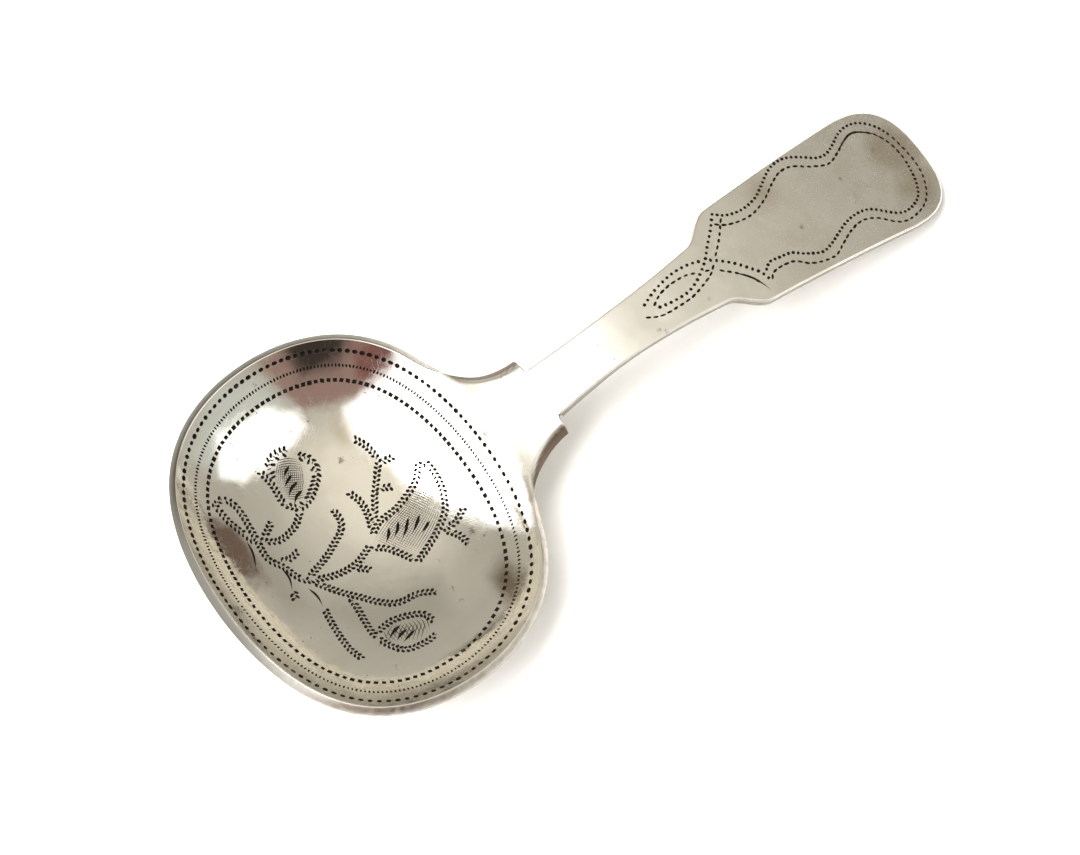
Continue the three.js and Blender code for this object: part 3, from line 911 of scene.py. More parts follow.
# %% Cut the bowl
# the first groove, the last one and how many lie between them: on the big flower, the first flower, the bud
HATCH_ALONG = (
    ([(0.5, -1.0), (3.0, 0.1), (6.2, 0.7), (8.9, 1.8)],
     [(3.6, -5.2), (6.4, -4.1), (8.6, -2.7), (9.6, -1.2)], 19),
    ([(-2.4, 12.0), (-3.8, 10.6), (-4.5, 8.0)], [(-0.5, 10.6), (-1.5, 8.6), (-3.2, 7.0)], 14),
    ([(-3.0, -9.8), (-4.1, -10.3), (-4.9, -11.0)], [(0.1, -11.9), (-0.9, -12.8), (-1.8, -13.6)], 10))
HATCH_ACROSS = (
    ([(8.6, 1.7), (9.4, 0.4), (9.9, -1.0)], [(0.9, -0.6), (2.0, -2.7), (3.2, -5.2)], 32),
    ([(-3.0, 12.1), (-1.4, 11.6), (-0.2, 10.4)], [(-4.3, 8.0), (-3.2, 7.3), (-1.7, 7.0)], 18),
    ([(0.2, -10.9), (0.4, -11.7), (-0.2, -13.2)], [(-4.4, -9.9), (-4.6, -10.8), (-4.3, -12.0)], 12))
HATCH_WIDTH, HATCH_DEPTH = 0.1, 0.04
PETAL_WIDTH, PETAL_DEPTH, PETAL_ENDS = 0.38, 0.18, 0.25
STEM_CUT_WIDTH, STEM_CUT_DEPTH = 0.28, 0.14

for hatches in (HATCH_ALONG, HATCH_ACROSS):
    grooves = [line for hatch in hatches for line in between(*hatch)]
    take_out(bowl, strokes_of("hatching", grooves, HATCH_WIDTH, HATCH_DEPTH), BRIGHT_CUT)
petal_cuts = [lengthened(through(points), PETAL_ENDS) for flower in PETAL_CUTS.values() for points in flower]
take_out(bowl, strokes_of("petal_cuts", petal_cuts, PETAL_WIDTH, PETAL_DEPTH))
stem_cuts = [through(points) for points in STEM_CUTS.values()]
take_out(bowl, strokes_of("stem_cuts", stem_cuts, STEM_CUT_WIDTH, STEM_CUT_DEPTH))
crossings = []
pits = list(rings)
for name, points in SPRAY.items():
    bold = BOLD_LINES.get(name, 1)
    crossings += links(through(points), bold)
    pits += wriggle(through(points), bold)
take_out(bowl, cutter_of("bowl_links", spread(crossings)), BRIGHT_CUT)
pits = spread(pits)
take_out(bowl, cutter_of("bowl_pecks", pits))
print("bowl:", len(pits), "pecks,", len(bowl.data.polygons), "faces")

# %% [markdown]
# ## The border on the handle
#
# A double line runs round the fiddle in waves, close to its edge. At its foot the two ends cross, and run
# down the stem as two strands that meet in a point. One line of each pair is cut in small pits and the
# other in short dashes, and they change places halfway round. In two places the graver linked its dashes
# to one thin stroke.

# %% The handle's lines
BORDER_OUTSIDE = [
    (50.3, 5.3), (51.5, 4.4), (53.3, 4.0), (55.3, 4.3), (56.8, 5.1), (58.6, 6.2), (60.1, 6.6), (61.5, 6.4),
    (63, 5.6), (64.2, 4.8), (65.5, 4.6), (67, 5.2), (68.2, 5.9), (69.8, 6.3), (71.4, 5.9), (72.8, 4.6),
    (73.6, 2.9), (73.9, 0.5), (73.9, -1.5), (73.4, -3.3), (72.3, -5.1), (70.8, -6.1), (68.8, -6.5),
    (67.3, -6.1), (65.6, -4.6), (64, -4), (62.2, -4.3), (60.4, -5.1), (58.9, -5.8), (57.4, -5.7),
    (55.8, -5.1), (54.5, -4.0), (53.0, -3.7), (51.8, -3.8), (50.9, -4.6)]
BORDER_INSIDE = [
    (49.7, 4.3), (50.8, 3.5), (52.5, 3.0), (54.3, 3.0), (56.3, 3.7), (58, 4.7), (59.6, 5.4), (61.2, 5.3),
    (63.1, 4.2), (65, 3.5), (66.6, 4.0), (68.3, 4.9), (69.6, 5.3), (70.8, 4.9), (72.1, 3.8), (72.9, 2),
    (73.1, -0.1), (72.7, -2.1), (72.1, -3.7), (71.1, -4.9), (69.3, -5.5), (67.8, -5.1), (65.7, -3.4),
    (64.1, -3), (62.4, -3.2), (60.8, -3.8), (59.1, -4.5), (57.7, -4.7), (55.9, -3.8), (54.8, -3.0),
    (53.2, -2.7), (52.1, -2.6), (50.9, -3.4)]
STRAND_PITS = [
    [(50.3, 5.3), (49, 3.9), (47.5, 2.5), (46.4, 1.4), (45.1, 0.5), (44, -0.1), (42.6, -0.5), (40.7, -0.4),
     (39.2, -0.1)],
    [(50.9, -4), (50.6, -3), (49.9, -2), (49, -0.8), (47.9, 0.3), (46.6, 1.3), (44.8, 2), (42.8, 2.2),
     (41.1, 2), (39.5, 1.6), (37.7, 0.9)]]
STRAND_DASHES = [
    [(50.9, 4.5), (49.2, 2.6), (47.2, 0.8), (46, -0.2), (44.4, -0.8), (42.7, -1.2), (40.6, -1.2),
     (38.8, -1), (37.3, -0.2)],
    [(49.9, -4), (49.3, -2.8), (48.2, -1.5), (46.5, 0), (45.1, 0.6), (43.6, 1.2), (41.6, 1.3), (40, 1),
     (38.4, 0.1)]]
# the point of both lines at which pits and dashes change places
BORDER_TURN = 16
LINKED_DASHES = [BORDER_INSIDE[10:16], [(48.2, -1.5), (49.3, -2.8), (49.9, -4.0), (50.4, -5.6)]]
BORDER_PITS, BORDER_DASHES, STRAND_PIT_PITCH, STRAND_DASH_PITCH = 0.55, 0.78, 0.66, 0.8
PIT_SIZE, DASH_SIZE = (0.48, 0.45, 0.15), (0.76, 0.36, 0.14)
LINK_WIDTH, LINK_DEPTH, LINK_PARTS = 0.26, 0.11, 14


def pit_row(points, pitch):
    at, heading = along(through(points), pitch)
    return cut("round", at, heading + math.pi / 2, *PIT_SIZE, jitter=0.15)


def dash_row(points, pitch):
    at, heading = along(through(points), pitch, pitch / 2)
    return cut("slit", at, heading, *DASH_SIZE, jitter=0.06)


# %% Cut the handle
border = pit_row(BORDER_OUTSIDE[:BORDER_TURN + 1], BORDER_PITS)
border += dash_row(BORDER_OUTSIDE[BORDER_TURN:], BORDER_DASHES)
border += dash_row(BORDER_INSIDE[:BORDER_TURN + 1], BORDER_DASHES)
border += pit_row(BORDER_INSIDE[BORDER_TURN:], BORDER_PITS)
for points in STRAND_PITS:
    border += pit_row(points, STRAND_PIT_PITCH)
for points in STRAND_DASHES:
    border += dash_row(points, STRAND_DASH_PITCH)
border = spread(border)
take_out(handle, cutter_of("handle_pecks", border))
linked = [through(points) for points in LINKED_DASHES]
take_out(handle, strokes_of("linked_dashes", linked, LINK_WIDTH, LINK_DEPTH, LINK_PARTS))
print("handle:", len(border), "pecks,", len(handle.data.polygons), "faces")

# %% [markdown]
# ## A true polish
#
# Silver is a mirror, so the eye reads its shape from what it reflects. A Boolean leaves long thin faces
# beside every cut, and averaged normals would make the reflections wobble there. The skin has a formula,
# so each corner of a face that lies on the skin gets its exact normal. The cuts themselves stay
# flat-sided and crisp. Faces that stand steeply to the skin are the filed edge, so they get that finish.
# How far a place is folded down goes into an attribute of its own, from which the metal's material
# paints shade on the folds and dulls them.

# %% Exact normals on the skin
SHARP_EDGE, SKIN_TOLERANCE, SAME_WAY = math.radians(40), 0.015, 0.97
# the last of these fades the fold into the mask for its painted shade and its duller polish
FILED_SLANT, UNDERSIDE_SLANT, FOLD_SHADE_AND_SATIN = 0.55, -0.85, (0.05, 0.25)


def polish(obj):
    only(obj)
    bpy.ops.object.shade_smooth_by_angle(angle=SHARP_EDGE)
    mesh = obj.data
    count = len(mesh.polygons)
    finish = np.empty(count, int)
    mesh.polygons.foreach_get("material_index", finish)
    uncut = finish == 0
    mesh.polygons.foreach_set("use_smooth", uncut)
    first = np.empty(count, int)
    mesh.polygons.foreach_get("loop_start", first)
    facing = np.empty(count * 3)
    mesh.polygons.foreach_get("normal", facing)
    corner = np.empty(len(mesh.loops), int)
    mesh.loops.foreach_get("vertex_index", corner)
    points = to_millimetres(read_points(mesh))
    x, y, z = points.T
    exact = skin_normal(x, y)
    slant = np.einsum("ij,ij->i", facing.reshape(-1, 3), exact[corner[first]])
    off_skin = np.abs(z - skin(x, y)) > SKIN_TOLERANCE
    on_skin = uncut & (slant > SAME_WAY) & (np.add.reduceat(off_skin[corner].astype(int), first) == 0)
    owner = np.repeat(np.arange(count), np.diff(np.append(first, len(corner))))
    normals = np.where(on_skin[owner][:, None], exact[corner], 0)
    mesh.normals_split_custom_set(normals.tolist())
    finish[uncut & (slant < FILED_SLANT) & (slant > UNDERSIDE_SLANT)] = FILED
    mesh.polygons.foreach_set("material_index", finish)
    # the fold attribute carries the painted shade of the folded shoulders, and their duller polish
    mesh.attributes.new("fold", "FLOAT", "POINT").data.foreach_set("value", smooth(fold(x, y), *FOLD_SHADE_AND_SATIN))
    print(obj.name, "polished:", int(on_skin.sum()), "of", count, "faces lie on the skin")


# %% [markdown]
# ## Materials
#
# Worn silver isn't one colour. Its polish is broken by hair-fine scratches in all directions, a few
# corrosion pits hold dark sulphide, and a thin yellow tarnish lies where a cloth doesn't reach. All of
# that comes from procedural textures in object coordinates, so it stays on the metal from any side.

# %% Small helpers for node trees
def new_material(name):
    """A new material, its node tree and its main shader."""
    material = bpy.data.materials.new(name)
    material.use_nodes = True
    return material, material.node_tree, material.node_tree.nodes["Principled BSDF"]


def add(tree, kind, inputs=None, **settings):
    """A node with its settings and its inputs, which are values or the outputs of other nodes."""
    node = tree.nodes.new(kind)
    for key, value in settings.items():
        setattr(node, key, value)
    for key, value in (inputs or {}).items():
        if isinstance(value, bpy.types.NodeSocket):
            tree.links.new(value, node.inputs[key])
        else:
            node.inputs[key].default_value = value
    return node


def math_of(tree, operation, *values):
    return add(tree, "ShaderNodeMath", dict(enumerate(values)), operation=operation).outputs[0]


def plus(tree, base, value, times):
    """base + value * times."""
    return math_of(tree, "MULTIPLY_ADD", value, times, base)


def vector_math(tree, operation, a, b):
    """A number for a dot product or a distance, and a vector for anything else."""
    node = add(tree, "ShaderNodeVectorMath", {0: a, 1: b}, operation=operation)
    return node.outputs["Value" if operation in ("DOT_PRODUCT", "DISTANCE") else "Vector"]


def part_of(tree, vector, axis):
    """One of a vector's three numbers: axis is X, Y or Z."""
    return add(tree, "ShaderNodeSeparateXYZ", {0: vector}).outputs[axis]


def fade(tree, value, low, high, to_low=0.0, to_high=1.0):
    """Turns value from low..high into to_low..to_high, with a soft start and end."""
    inputs = {"Value": value, "From Min": low, "From Max": high, "To Min": to_low, "To Max": to_high}
    return add(tree, "ShaderNodeMapRange", inputs, interpolation_type="SMOOTHSTEP").outputs["Result"]


def blend(tree, share, a, b):
    """Mixes two colours, which are tuples or outputs."""
    node = tree.nodes.new("ShaderNodeMix")
    node.data_type = "RGBA"
    for socket, value in ((node.inputs[0], share), (node.inputs[6], a), (node.inputs[7], b)):
        if isinstance(value, bpy.types.NodeSocket):
            tree.links.new(value, socket)
        else:
            socket.default_value = value if isinstance(value, float) else (*value, 1)
    return node.outputs[2]


def millimetres(tree, turn=0.0, stretch=(1, 1, 1), shift=(0, 0, 0)):
    """Object coordinates in millimetres, turned about the vertical and then stretched."""
    place = add(tree, "ShaderNodeTexCoord").outputs["Object"]
    scaled = add(tree, "ShaderNodeMapping", {"Vector": place, "Scale": (1 / MM,) * 3, "Location": shift})
    turned = add(tree, "ShaderNodeMapping", {"Vector": scaled.outputs[0], "Rotation": (0, 0, turn)})
    return add(tree, "ShaderNodeMapping", {"Vector": turned.outputs[0], "Scale": stretch}).outputs[0]


def noise(tree, place, scale, detail=4.0, roughness=0.5):
    inputs = {"Vector": place, "Scale": scale, "Detail": detail, "Roughness": roughness}
    return add(tree, "ShaderNodeTexNoise", inputs).outputs["Fac"]


# %% [markdown]
# ## Marks of wear
#
# Each kind of mark is its own small pattern from 0 to 1. Scratches are noise that is drawn out long in
# four directions. Pits are the middles of cells that only show in rare patches. Stains and smudges have a
# place: they lie where the old spoon has them, with edges made ragged by noise.

# %% Scratches, pits and stains
SCRATCHES = ((0.5, 0.05), (1.9, 0.08), (2.6, 0.035), (1.2, 0.11))
SCRATCH_FINENESS = 7


def scratches(tree, plain):
    marks = None
    for turn, length in SCRATCHES:
        fine = noise(tree, millimetres(tree, turn, (length, SCRATCH_FINENESS, 1)), 1.0, 2.0)
        line = fade(tree, fine, 0.60, 0.70)
        marks = line if marks is None else math_of(tree, "MAXIMUM", marks, line)
    patches = fade(tree, noise(tree, plain, 0.22), 0.35, 0.65)
    return math_of(tree, "MULTIPLY", marks, plus(tree, 0.35, patches, 0.65))


def corrosion(tree, plain, share):
    cells = add(tree, "ShaderNodeTexVoronoi", {"Vector": plain, "Scale": 0.9, "Randomness": 1.0})
    ragged = plus(tree, cells.outputs["Distance"], noise(tree, plain, 9.0), 0.12)
    rare = fade(tree, noise(tree, plain, 0.35, 2.0), 0.62 - share, 0.72 - share)
    return math_of(tree, "MULTIPLY", fade(tree, ragged, 0.15, 0.10), rare)


def from_nearest(tree, plain, marks):
    """The distance in millimetres from the edge of the nearest mark, each given as x, y and radius."""
    flat = vector_math(tree, "MULTIPLY", plain, (1, 1, 0))
    nearest = None
    for x, y, radius in marks:
        away = vector_math(tree, "DISTANCE", flat, (x - origin_x, y, 0))
        away = math_of(tree, "SUBTRACT", away, radius)
        nearest = away if nearest is None else math_of(tree, "MINIMUM", nearest, away)
    return nearest


BOWL_STAINS = [
    (16.5, 0.4, 0.5), (10.6, 10.5, 0.3), (3.1, 8.3, 0.45), (6.1, 8.5, 0.22), (-0.2, 19.0, 0.2),
    (9.7, -6.6, 0.42), (11.0, -5.9, 0.25), (11.3, -7.2, 0.2), (5.2, -6.9, 0.25), (4.4, -10.4, 0.25),
    (-5.7, -14.5, 0.25), (3.0, -16.9, 0.35), (2.6, 13.5, 0.2), (0.3, 13.6, 0.2), (-1.2, 7.0, 0.2),
    (8.5, -7.4, 0.22), (10.4, -7.9, 0.2), (-0.4, -5.7, 0.15), (4.4, -12.2, 0.2), (9.7, 8.3, 0.3),
    (7.5, 8.5, 0.15)]
HANDLE_STAINS = [
    (27.5, 1.3, 0.25), (28.3, 1.0, 0.15), (29.3, 1.0, 0.2), (28.8, 0.8, 0.1), (31.4, 1.2, 0.15),
    (31.4, 0.4, 0.15), (31.3, -0.1, 0.1), (29.7, -2.5, 0.12), (32.0, -1.9, 0.1), (29.1, -2.7, 0.1),
    (37.7, -2.2, 0.25), (38.1, -2.8, 0.25), (44.2, -2.4, 0.2), (57.7, -1.1, 0.35), (65.0, 1.4, 0.2),
    (70.6, 2.4, 0.35)]
BOWL_SMUDGES = [(5, 10.5, 0.5), (8, 8.5, 0.5)]
HANDLE_SMUDGES = [(72.5, 1.5, 2.4), (72.0, -3.5, 1.8), (56.5, 4.5, 1)]
# with a radius of -9 mm, a mark never shows
UNMARKED = [(0, 0, -9)]
print(len(BOWL_STAINS) + len(HANDLE_STAINS), "stains,", len(BOWL_SMUDGES) + len(HANDLE_SMUDGES), "smudges")

# %% [markdown]
# ## Worn silver
#
# The silver mirrors the room, so its colour and its gloss make the look. The colour starts as clean
# silver, and tarnish, scratches, pits, stains, smudges and a brown painted shade on the folded
# shoulders are laid over it in turn. The bowl keeps its polish. Towards the neck, and all along the
# handle, fingers have worn it to satin. Two bumps lie over each other: a fine one of grain and
# scratches, and the long low waves of the hammer.

# %% A worn polish
SILVER = (0.89, 0.865, 0.80)
TARNISH = (0.62, 0.54, 0.42)
SULPHIDE = (0.10, 0.08, 0.06)
STAIN = (0.24, 0.20, 0.15)
# painted shade on the folded shoulders, standing in for the dark room they reflect
FOLD_PAINTED_SHADE = (0.17, 0.125, 0.095)
SCRATCH_TONE = (0.97, 0.95, 0.88)


def worn_silver(name, roughness, pit_share, tarnish_share, satin, stains, smudges, waves, scratch=0.8):
    """roughness is its least and its most. pit_share and tarnish_share say how much is pitted and tarnished.
    satin is where along the spoon a duller polish begins, where it is complete, and how much duller it is.
    stains and smudges are lists of x, y and radius. waves is the height of the hammer's waves in millimetres,
    and scratch says how deep the scratches are beside the grain.
    """
    material, tree, shader = new_material(name)
    shader.inputs["Metallic"].default_value = 1
    plain = millimetres(tree)
    marks = scratches(tree, plain)
    pits = corrosion(tree, plain, pit_share)
    folded = add(tree, "ShaderNodeAttribute", attribute_name="fold").outputs["Fac"]
    cloud = noise(tree, millimetres(tree, shift=(3, 8, 1)), 0.16, 6.0, 0.6)
    from_stain = plus(tree, from_nearest(tree, plain, stains), noise(tree, plain, 3.0, 5.0, 0.8), 2.4)
    from_smudge = plus(tree, from_nearest(tree, plain, smudges), cloud, 3)

    tarnished = math_of(tree, "MULTIPLY", fade(tree, cloud, 0.48, 0.75), tarnish_share)
    # the last layer is a brown painted shade on the folded shoulders
    colour = SILVER
    for share, tone in (
            (tarnished, TARNISH),
            (math_of(tree, "MULTIPLY", marks, 0.12), SCRATCH_TONE),
            (pits, SULPHIDE),
            (fade(tree, from_stain, 1.25, 0.75, 0, 0.8), STAIN),
            (fade(tree, from_smudge, 3.4, 0.4, 0, 0.75), TARNISH),
            (folded, FOLD_PAINTED_SHADE)):
        colour = blend(tree, share, colour, tone)
    tree.links.new(colour, shader.inputs["Base Color"])

    rough = fade(tree, noise(tree, plain, 0.5, 5.0), 0.3, 0.7, *roughness)
    for cause, duller in ((marks, 0.10), (pits, 0.35), (folded, 0.1)):
        rough = plus(tree, rough, cause, duller)
    begins, complete, extra = satin
    along_it = fade(tree, part_of(tree, plain, "X"), begins - origin_x, complete - origin_x, 0, extra)
    tree.links.new(math_of(tree, "ADD", rough, along_it), shader.inputs["Roughness"])

    grain = math_of(tree, "MULTIPLY", noise(tree, plain, 3.0, 5.0), 0.6)
    height = plus(tree, plus(tree, grain, marks, -scratch), pits, -4.0)
    fine = add(tree, "ShaderNodeBump", {"Height": height, "Strength": 0.35, "Distance": 0.004 * MM})
    hammered = {"Height": noise(tree, plain, 0.28, 2.0), "Distance": waves * MM, "Normal": fine.outputs[0]}
    tree.links.new(add(tree, "ShaderNodeBump", hammered).outputs[0], shader.inputs["Normal"])
    return material


bowl_silver = worn_silver(
    "bowl_silver", roughness=(0.05, 0.10), pit_share=0.13, tarnish_share=0.18, satin=(16.2, 18.5, 0.27),
    stains=BOWL_STAINS, smudges=BOWL_SMUDGES, waves=0.05)
handle_silver = worn_silver(
    "handle_silver", roughness=(0.22, 0.30), pit_share=0.05, tarnish_share=0.3, satin=(60, 30, 0.19),
    stains=HANDLE_STAINS, smudges=HANDLE_SMUDGES, waves=0.06)
solder_silver = worn_silver(
    "solder_silver", roughness=(0.28, 0.38), pit_share=0.1, tarnish_share=0.8, satin=(24, 25, 0),
    stains=UNMARKED, smudges=UNMARKED, waves=0.02, scratch=0.5)
print("the bowl's silver is made of", len(bowl_silver.node_tree.nodes), "nodes")

# %% [markdown]
# ## Cuts and edges
#
# Black tarnish sits in the pecks and strokes, and only their edges catch the light. The finest grooves
# are too shallow to hold it. The filed edge is satin, with file marks and patches of grime, and painted
# shade darkens it on the far side and wherever it turns down.

# %% Three finishes for what the tools left
CUT_TONES = (0.014, 0.011, 0.008), (0.06, 0.05, 0.038)
GROOVE_TONES = (0.06, 0.05, 0.045), (0.34, 0.31, 0.29)
FILED_TONES = (0.66, 0.62, 0.55), (0.52, 0.48, 0.42)
# painted shade on the filed edge: darker on the far side and where it faces down
FAR_SIDE, FAR_FADE, FAR_PAINTED_SHADE = (-0.6, 0.8, 0), (-6, 9), (0.17, 0.16, 0.135)
UNDERSIDE_PAINTED_SHADE = (0.19, 0.17, 0.14)


def cut_silver():
    """Inside the cuts: black tarnish over raw metal, thinner on some walls than on others."""
    material, tree, shader = new_material("tarnish_in_the_cuts")
    shader.inputs["Roughness"].default_value = 0.6
    shader.inputs["Specular IOR Level"].default_value = 0
    worn = fade(tree, noise(tree, millimetres(tree), 0.6), 0.55, 0.8)
    tree.links.new(blend(tree, worn, *CUT_TONES), shader.inputs["Base Color"])
    return material


def bright_cut():
    """The fine grooves, which a polishing cloth keeps bright."""
    material, tree, shader = new_material("bright_grooves")
    shader.inputs["Metallic"].default_value = 1
    shader.inputs["Roughness"].default_value = 0.3
    dull = noise(tree, millimetres(tree), 1.2)
    tree.links.new(blend(tree, dull, *GROOVE_TONES), shader.inputs["Base Color"])
    return material


def filed_silver():
    """The filed edge: satin, file marks, grime, and painted shade on its far side and where it turns down."""
    material, tree, shader = new_material("filed_edge")
    shader.inputs["Metallic"].default_value = 1
    plain = millimetres(tree)
    grime = fade(tree, noise(tree, plain, 1.1, 6.0), 0.35, 0.75)
    colour = blend(tree, grime, *FILED_TONES)
    # painted shade: darker towards the far side of the bowl, and where the edge turns down
    from_bowl = millimetres(tree, shift=(origin_x, 0, 0))
    far = fade(tree, vector_math(tree, "DOT_PRODUCT", from_bowl, FAR_SIDE), *FAR_FADE)
    colour = blend(tree, far, colour, FAR_PAINTED_SHADE)
    upwards = part_of(tree, add(tree, "ShaderNodeNewGeometry").outputs["Normal"], "Z")
    colour = blend(tree, fade(tree, upwards, 0.6, 0.2, 0, 0.9), colour, UNDERSIDE_PAINTED_SHADE)
    tree.links.new(colour, shader.inputs["Base Color"])
    tree.links.new(fade(tree, noise(tree, plain, 1.5), 0.3, 0.7, 0.30, 0.42), shader.inputs["Roughness"])
    nicks = {"Height": noise(tree, plain, 2.2, 5.0, 0.7), "Strength": 0.5, "Distance": 0.01 * MM}
    tree.links.new(add(tree, "ShaderNodeBump", nicks).outputs[0], shader.inputs["Normal"])
    return material


finishes = [cut_silver(), bright_cut(), filed_silver()]
print("finishes:", [finish.name for finish in finishes])

# %% [markdown]
# ## Metal on each piece
#
# Each piece has four material slots: its own silver first, and then the finishes in the order of
# DARK_CUT, BRIGHT_CUT and FILED. The polish comes last, when nothing more is cut, and it also finds the
# filed faces.

# %% Give each piece its metal and its polish
for piece, metal in ((bowl, bowl_silver), (handle, handle_silver), (solder, solder_silver)):
    while len(piece.data.materials) < 1 + len(finishes):
        piece.data.materials.append(None)
    for number, finish in enumerate([metal] + finishes):
        piece.data.materials[number] = finish
    polish(piece)

# %% [markdown]
# ## Hand the pieces to the frame
#
# Each piece stands for the node of its name and rides on the spoon's one body.

# %% Ride and replace
for piece, node, slot in ((bowl, "bowl", "bowl_silver"), (handle, "handle", "handle_silver"),
                          (solder, "solder_seam", "solder")):
    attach(piece, "root")
    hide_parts(node)
print("pieces:", [piece.name for piece in (bowl, handle, solder)])

# %% [markdown]
# ## The table
#
# The spoon lies on white paper. The paper is a plain matt sheet, so it takes the spoon's soft shadow. It
# is nearly white by the light that falls on it. A faint glow, which only the camera and mirror-like
# surfaces see, makes it pure white and puts no light on the silver.

# %% A white floor
FLOOR_SIZE, FLOOR_DROP, GLOW = 4, 0.02, 0.02
PAPER_TONES = (0.90, 0.90, 0.89), (0.93, 0.93, 0.92)

start()
bpy.ops.mesh.primitive_plane_add(size=FLOOR_SIZE, location=(0, 0, -FLOOR_DROP * MM))
floor = bpy.context.object
floor.name = "paper"
paper, tree, shader = new_material("white_paper")
fibres = noise(tree, millimetres(tree), 0.8, 6.0)
tree.links.new(blend(tree, fibres, *PAPER_TONES), shader.inputs["Base Color"])
shader.inputs["Roughness"].default_value = 0.9
shader.inputs["Specular IOR Level"].default_value = 0
path = add(tree, "ShaderNodeLightPath").outputs
seen = math_of(tree, "MAXIMUM", path["Is Camera Ray"], path["Is Glossy Ray"])
seen = math_of(tree, "MAXIMUM", seen, path["Is Transmission Ray"])
shader.inputs["Emission Color"].default_value = (1, 1, 1, 1)
tree.links.new(math_of(tree, "MULTIPLY", seen, GLOW), shader.inputs["Emission Strength"])
floor.data.materials.append(paper)
print("paper:", FLOOR_SIZE, "m square")

# %% [markdown]
# ## The light
#
# A mirror shows the room, so the room is what has to be right: a large window at the bowl's far end, a
# second and paler one beside the handle, a soft ceiling, and a dark red-brown screen on the near side.
# They are soft patches painted on the world by direction, with no picture file. A place in the room is
# given as if it were seen in a plan: x and y are how many degrees it lies from straight up, along the
# spoon and across it. The camera itself sees plain white past the paper's edge. A large lamp above gives
# the paper its shadow.

# %% A room made of soft panes
def direction(azimuth, elevation):
    a, e = math.radians(azimuth), math.radians(elevation)
    return Vector((math.cos(a) * math.cos(e), math.sin(a) * math.cos(e), math.sin(e)))


def pane(tree, place, colour, corners, softness, tone):
    """Paints a many-sided pane over colour. Its corners run anticlockwise, in degrees from straight up."""
    inside = None
    for a, b in zip(corners, corners[1:] + corners[:1]):
        run = (Vector(b) - Vector(a)).normalized()
        inward = Vector((-run.y, run.x, 0))
        from_side = vector_math(tree, "DOT_PRODUCT", place, inward)
        from_side = math_of(tree, "SUBTRACT", from_side, inward.dot(Vector((*a, 0))))
        inside = from_side if inside is None else math_of(tree, "MINIMUM", inside, from_side)
    return blend(tree, fade(tree, inside, -softness, softness), colour, tone)


def warm(level):
    return (level * 1.07, level, level * 0.86)


CEILING = ((0.0, 0.86), (0.17, 0.82), (0.32, 0.60), (0.5, 0.47), (0.75, 0.42), (1.0, 0.45))
PANES = {
    # corners, softness in degrees and tone, from the back to the front
    "ceiling shade": ([(24, 26), (52, 28), (42, 50), (6, 60), (-2, 38)], 9, warm(0.36)),
    "dark beam": ([(57, 4), (76, 2), (74, 28), (57, 26)], 9, warm(0.35)),
    "foot of the far wall": ([(30, 83), (42, 115), (-42, 115), (-30, 83)], 4, (0.10, 0.075, 0.06)),
    "window sill": ([(8, -46), (14, -72), (38, -76), (74, -42), (62, -28)], 7, (0.59, 0.61, 0.56)),
    "screen": ([(-80, -20), (-80, -75), (10, -80), (8, -52), (3, -42), (-43, -27)], 4, (0.32, 0.21, 0.18)),
    "screen, edge": ([(-74, -26), (-70, -42), (-44, -50), (-36, -38), (-50, -29)], 5, (0.22, 0.10, 0.085)),
    "screen, foot": ([(-46, -56), (-30, -78), (-4, -78), (-8, -58), (-28, -52)], 7, (0.045, 0.035, 0.03)),
    "window": ([(-95, 84), (-95, -26), (-18, -30), (-13, -20), (-16, 8), (-30, 27), (-58, 48)], 6,
               (2.1, 2.1, 2.15)),
    "glare": ([(-40, -8), (-20, -8), (-19, 8), (-34, 20)], 3, (14, 14, 14)),
    "second window": ([(7, -33), (7, -43), (20, -54), (50, -52), (62, -30), (50, -23), (14, -29)], 4,
                      (1.6, 1.6, 1.6)),
    "shade at the side": ([(-46, 100), (-40, 57), (-24, 58), (-20, 100)], 7, (0.17, 0.13, 0.09)),
    "shade by the handle": ([(70, -7), (98, -12), (98, 18), (71, 12)], 4, (0.15, 0.105, 0.08)),
}
print("panes:", ", ".join(PANES))

# %% Paint the room on the world
world = bpy.data.worlds.new("studio")
bpy.context.scene.world = world
world.use_nodes = True
tree = world.node_tree
towards = add(tree, "ShaderNodeTexCoord").outputs["Generated"]
tilt = math_of(tree, "MULTIPLY", math_of(tree, "ARCCOSINE", part_of(tree, towards, "Z")), math.degrees(1))
round_it = math_of(tree, "ARCTAN2", part_of(tree, towards, "Y"), part_of(tree, towards, "X"))
place = add(tree, "ShaderNodeCombineXYZ", {
    "X": math_of(tree, "MULTIPLY", tilt, math_of(tree, "COSINE", round_it)),
    "Y": math_of(tree, "MULTIPLY", tilt, math_of(tree, "SINE", round_it))}).outputs[0]

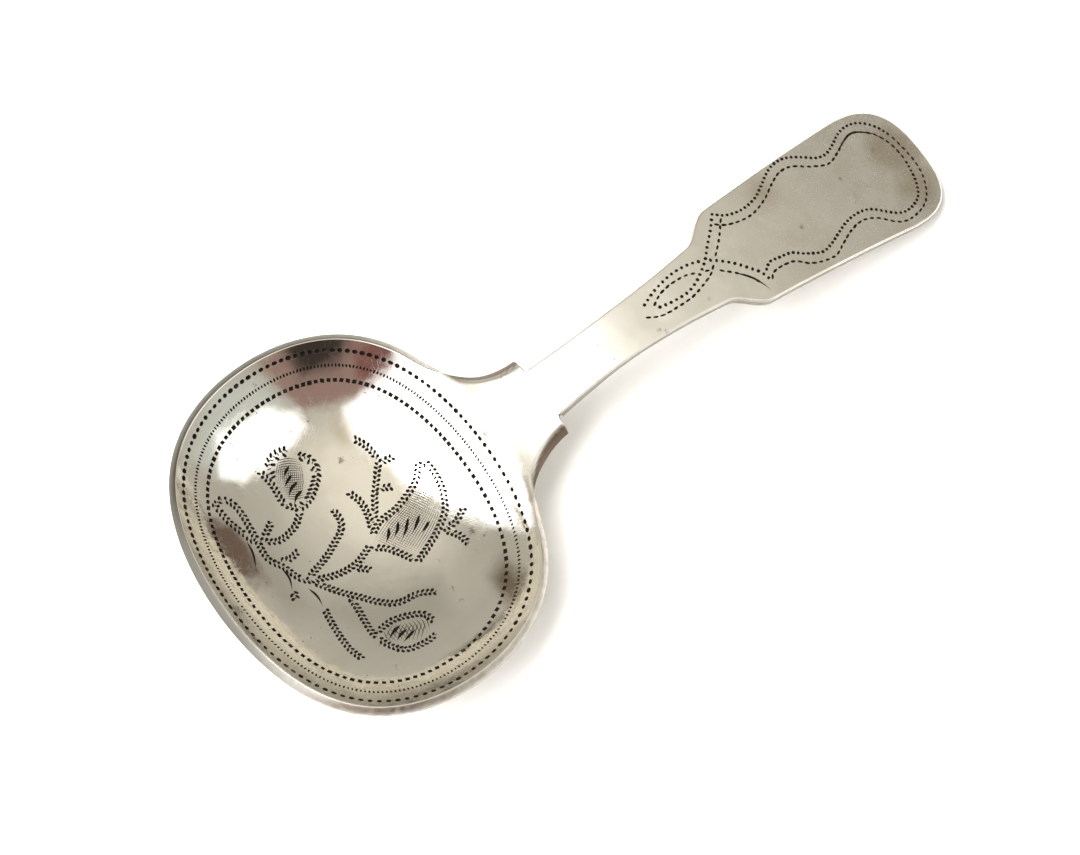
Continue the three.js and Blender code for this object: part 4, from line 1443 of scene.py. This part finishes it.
ceiling = add(tree, "ShaderNodeValToRGB", {0: math_of(tree, "DIVIDE", tilt, 90)})
stops = ceiling.color_ramp.elements
ready = len(stops)
for number, (where, level) in enumerate(CEILING):
    stop = stops[number] if number < ready else stops.new(where)
    stop.position = where
    stop.color = (*warm(level), 1)
room = ceiling.outputs[0]
for corners, softness, tone in PANES.values():
    room = pane(tree, place, room, corners, softness, tone)
seen = add(tree, "ShaderNodeLightPath").outputs["Is Camera Ray"]
tree.links.new(blend(tree, seen, room, (1, 1, 1)), tree.nodes["Background"].inputs["Color"])
print("room painted with", len(tree.nodes), "nodes")

# %% A large lamp above
LAMP_AZIMUTH, LAMP_ELEVATION, LAMP_DISTANCE = 115, 68, 0.9
LAMP_SIZE, LAMP_POWER = 0.5, 6.0


def aim(obj, away):
    """Turns a lamp or a camera so that it looks back along away, upright."""
    obj.rotation_mode = "QUATERNION"
    obj.rotation_quaternion = away.to_track_quat("Z", "Y")


lamp = add_object("ceiling_lamp", bpy.data.lights.new("ceiling_lamp", "AREA"))
lamp.data.size, lamp.data.energy = LAMP_SIZE, LAMP_POWER
lamp_away = direction(LAMP_AZIMUTH, LAMP_ELEVATION)
lamp.location = lamp_away * LAMP_DISTANCE
aim(lamp, lamp_away)
lamp.visible_glossy = False
print("lamp of", LAMP_POWER, "W at", [round(v, 2) for v in lamp.location])

# %% [markdown]
# ## The camera
#
# The photograph looks down steeply, with the bowl at the lower left and the handle running up to the
# right. The lens is long, as when one steps back from a small thing to keep its shape true.

# %% Camera
CAMERA_AZIMUTH, CAMERA_ELEVATION, CAMERA_DISTANCE = -36.1, 73.6, 380
LOOK_AT = (-7.414, -2.861, 8.0)
LENS, SENSOR = 119.52, 36

camera = add_object("camera", bpy.data.cameras.new("camera"))
camera.data.lens, camera.data.sensor_width = LENS, SENSOR
camera.data.clip_start, camera.data.clip_end = 0.01, 10
camera_away = direction(CAMERA_AZIMUTH - 90, CAMERA_ELEVATION)
camera.location = (Vector(LOOK_AT) + camera_away * CAMERA_DISTANCE) * MM
aim(camera, camera_away)
bpy.context.scene.camera = camera
bpy.context.scene.view_settings.view_transform = "Standard"
print("camera at", [round(v, 3) for v in camera.location])
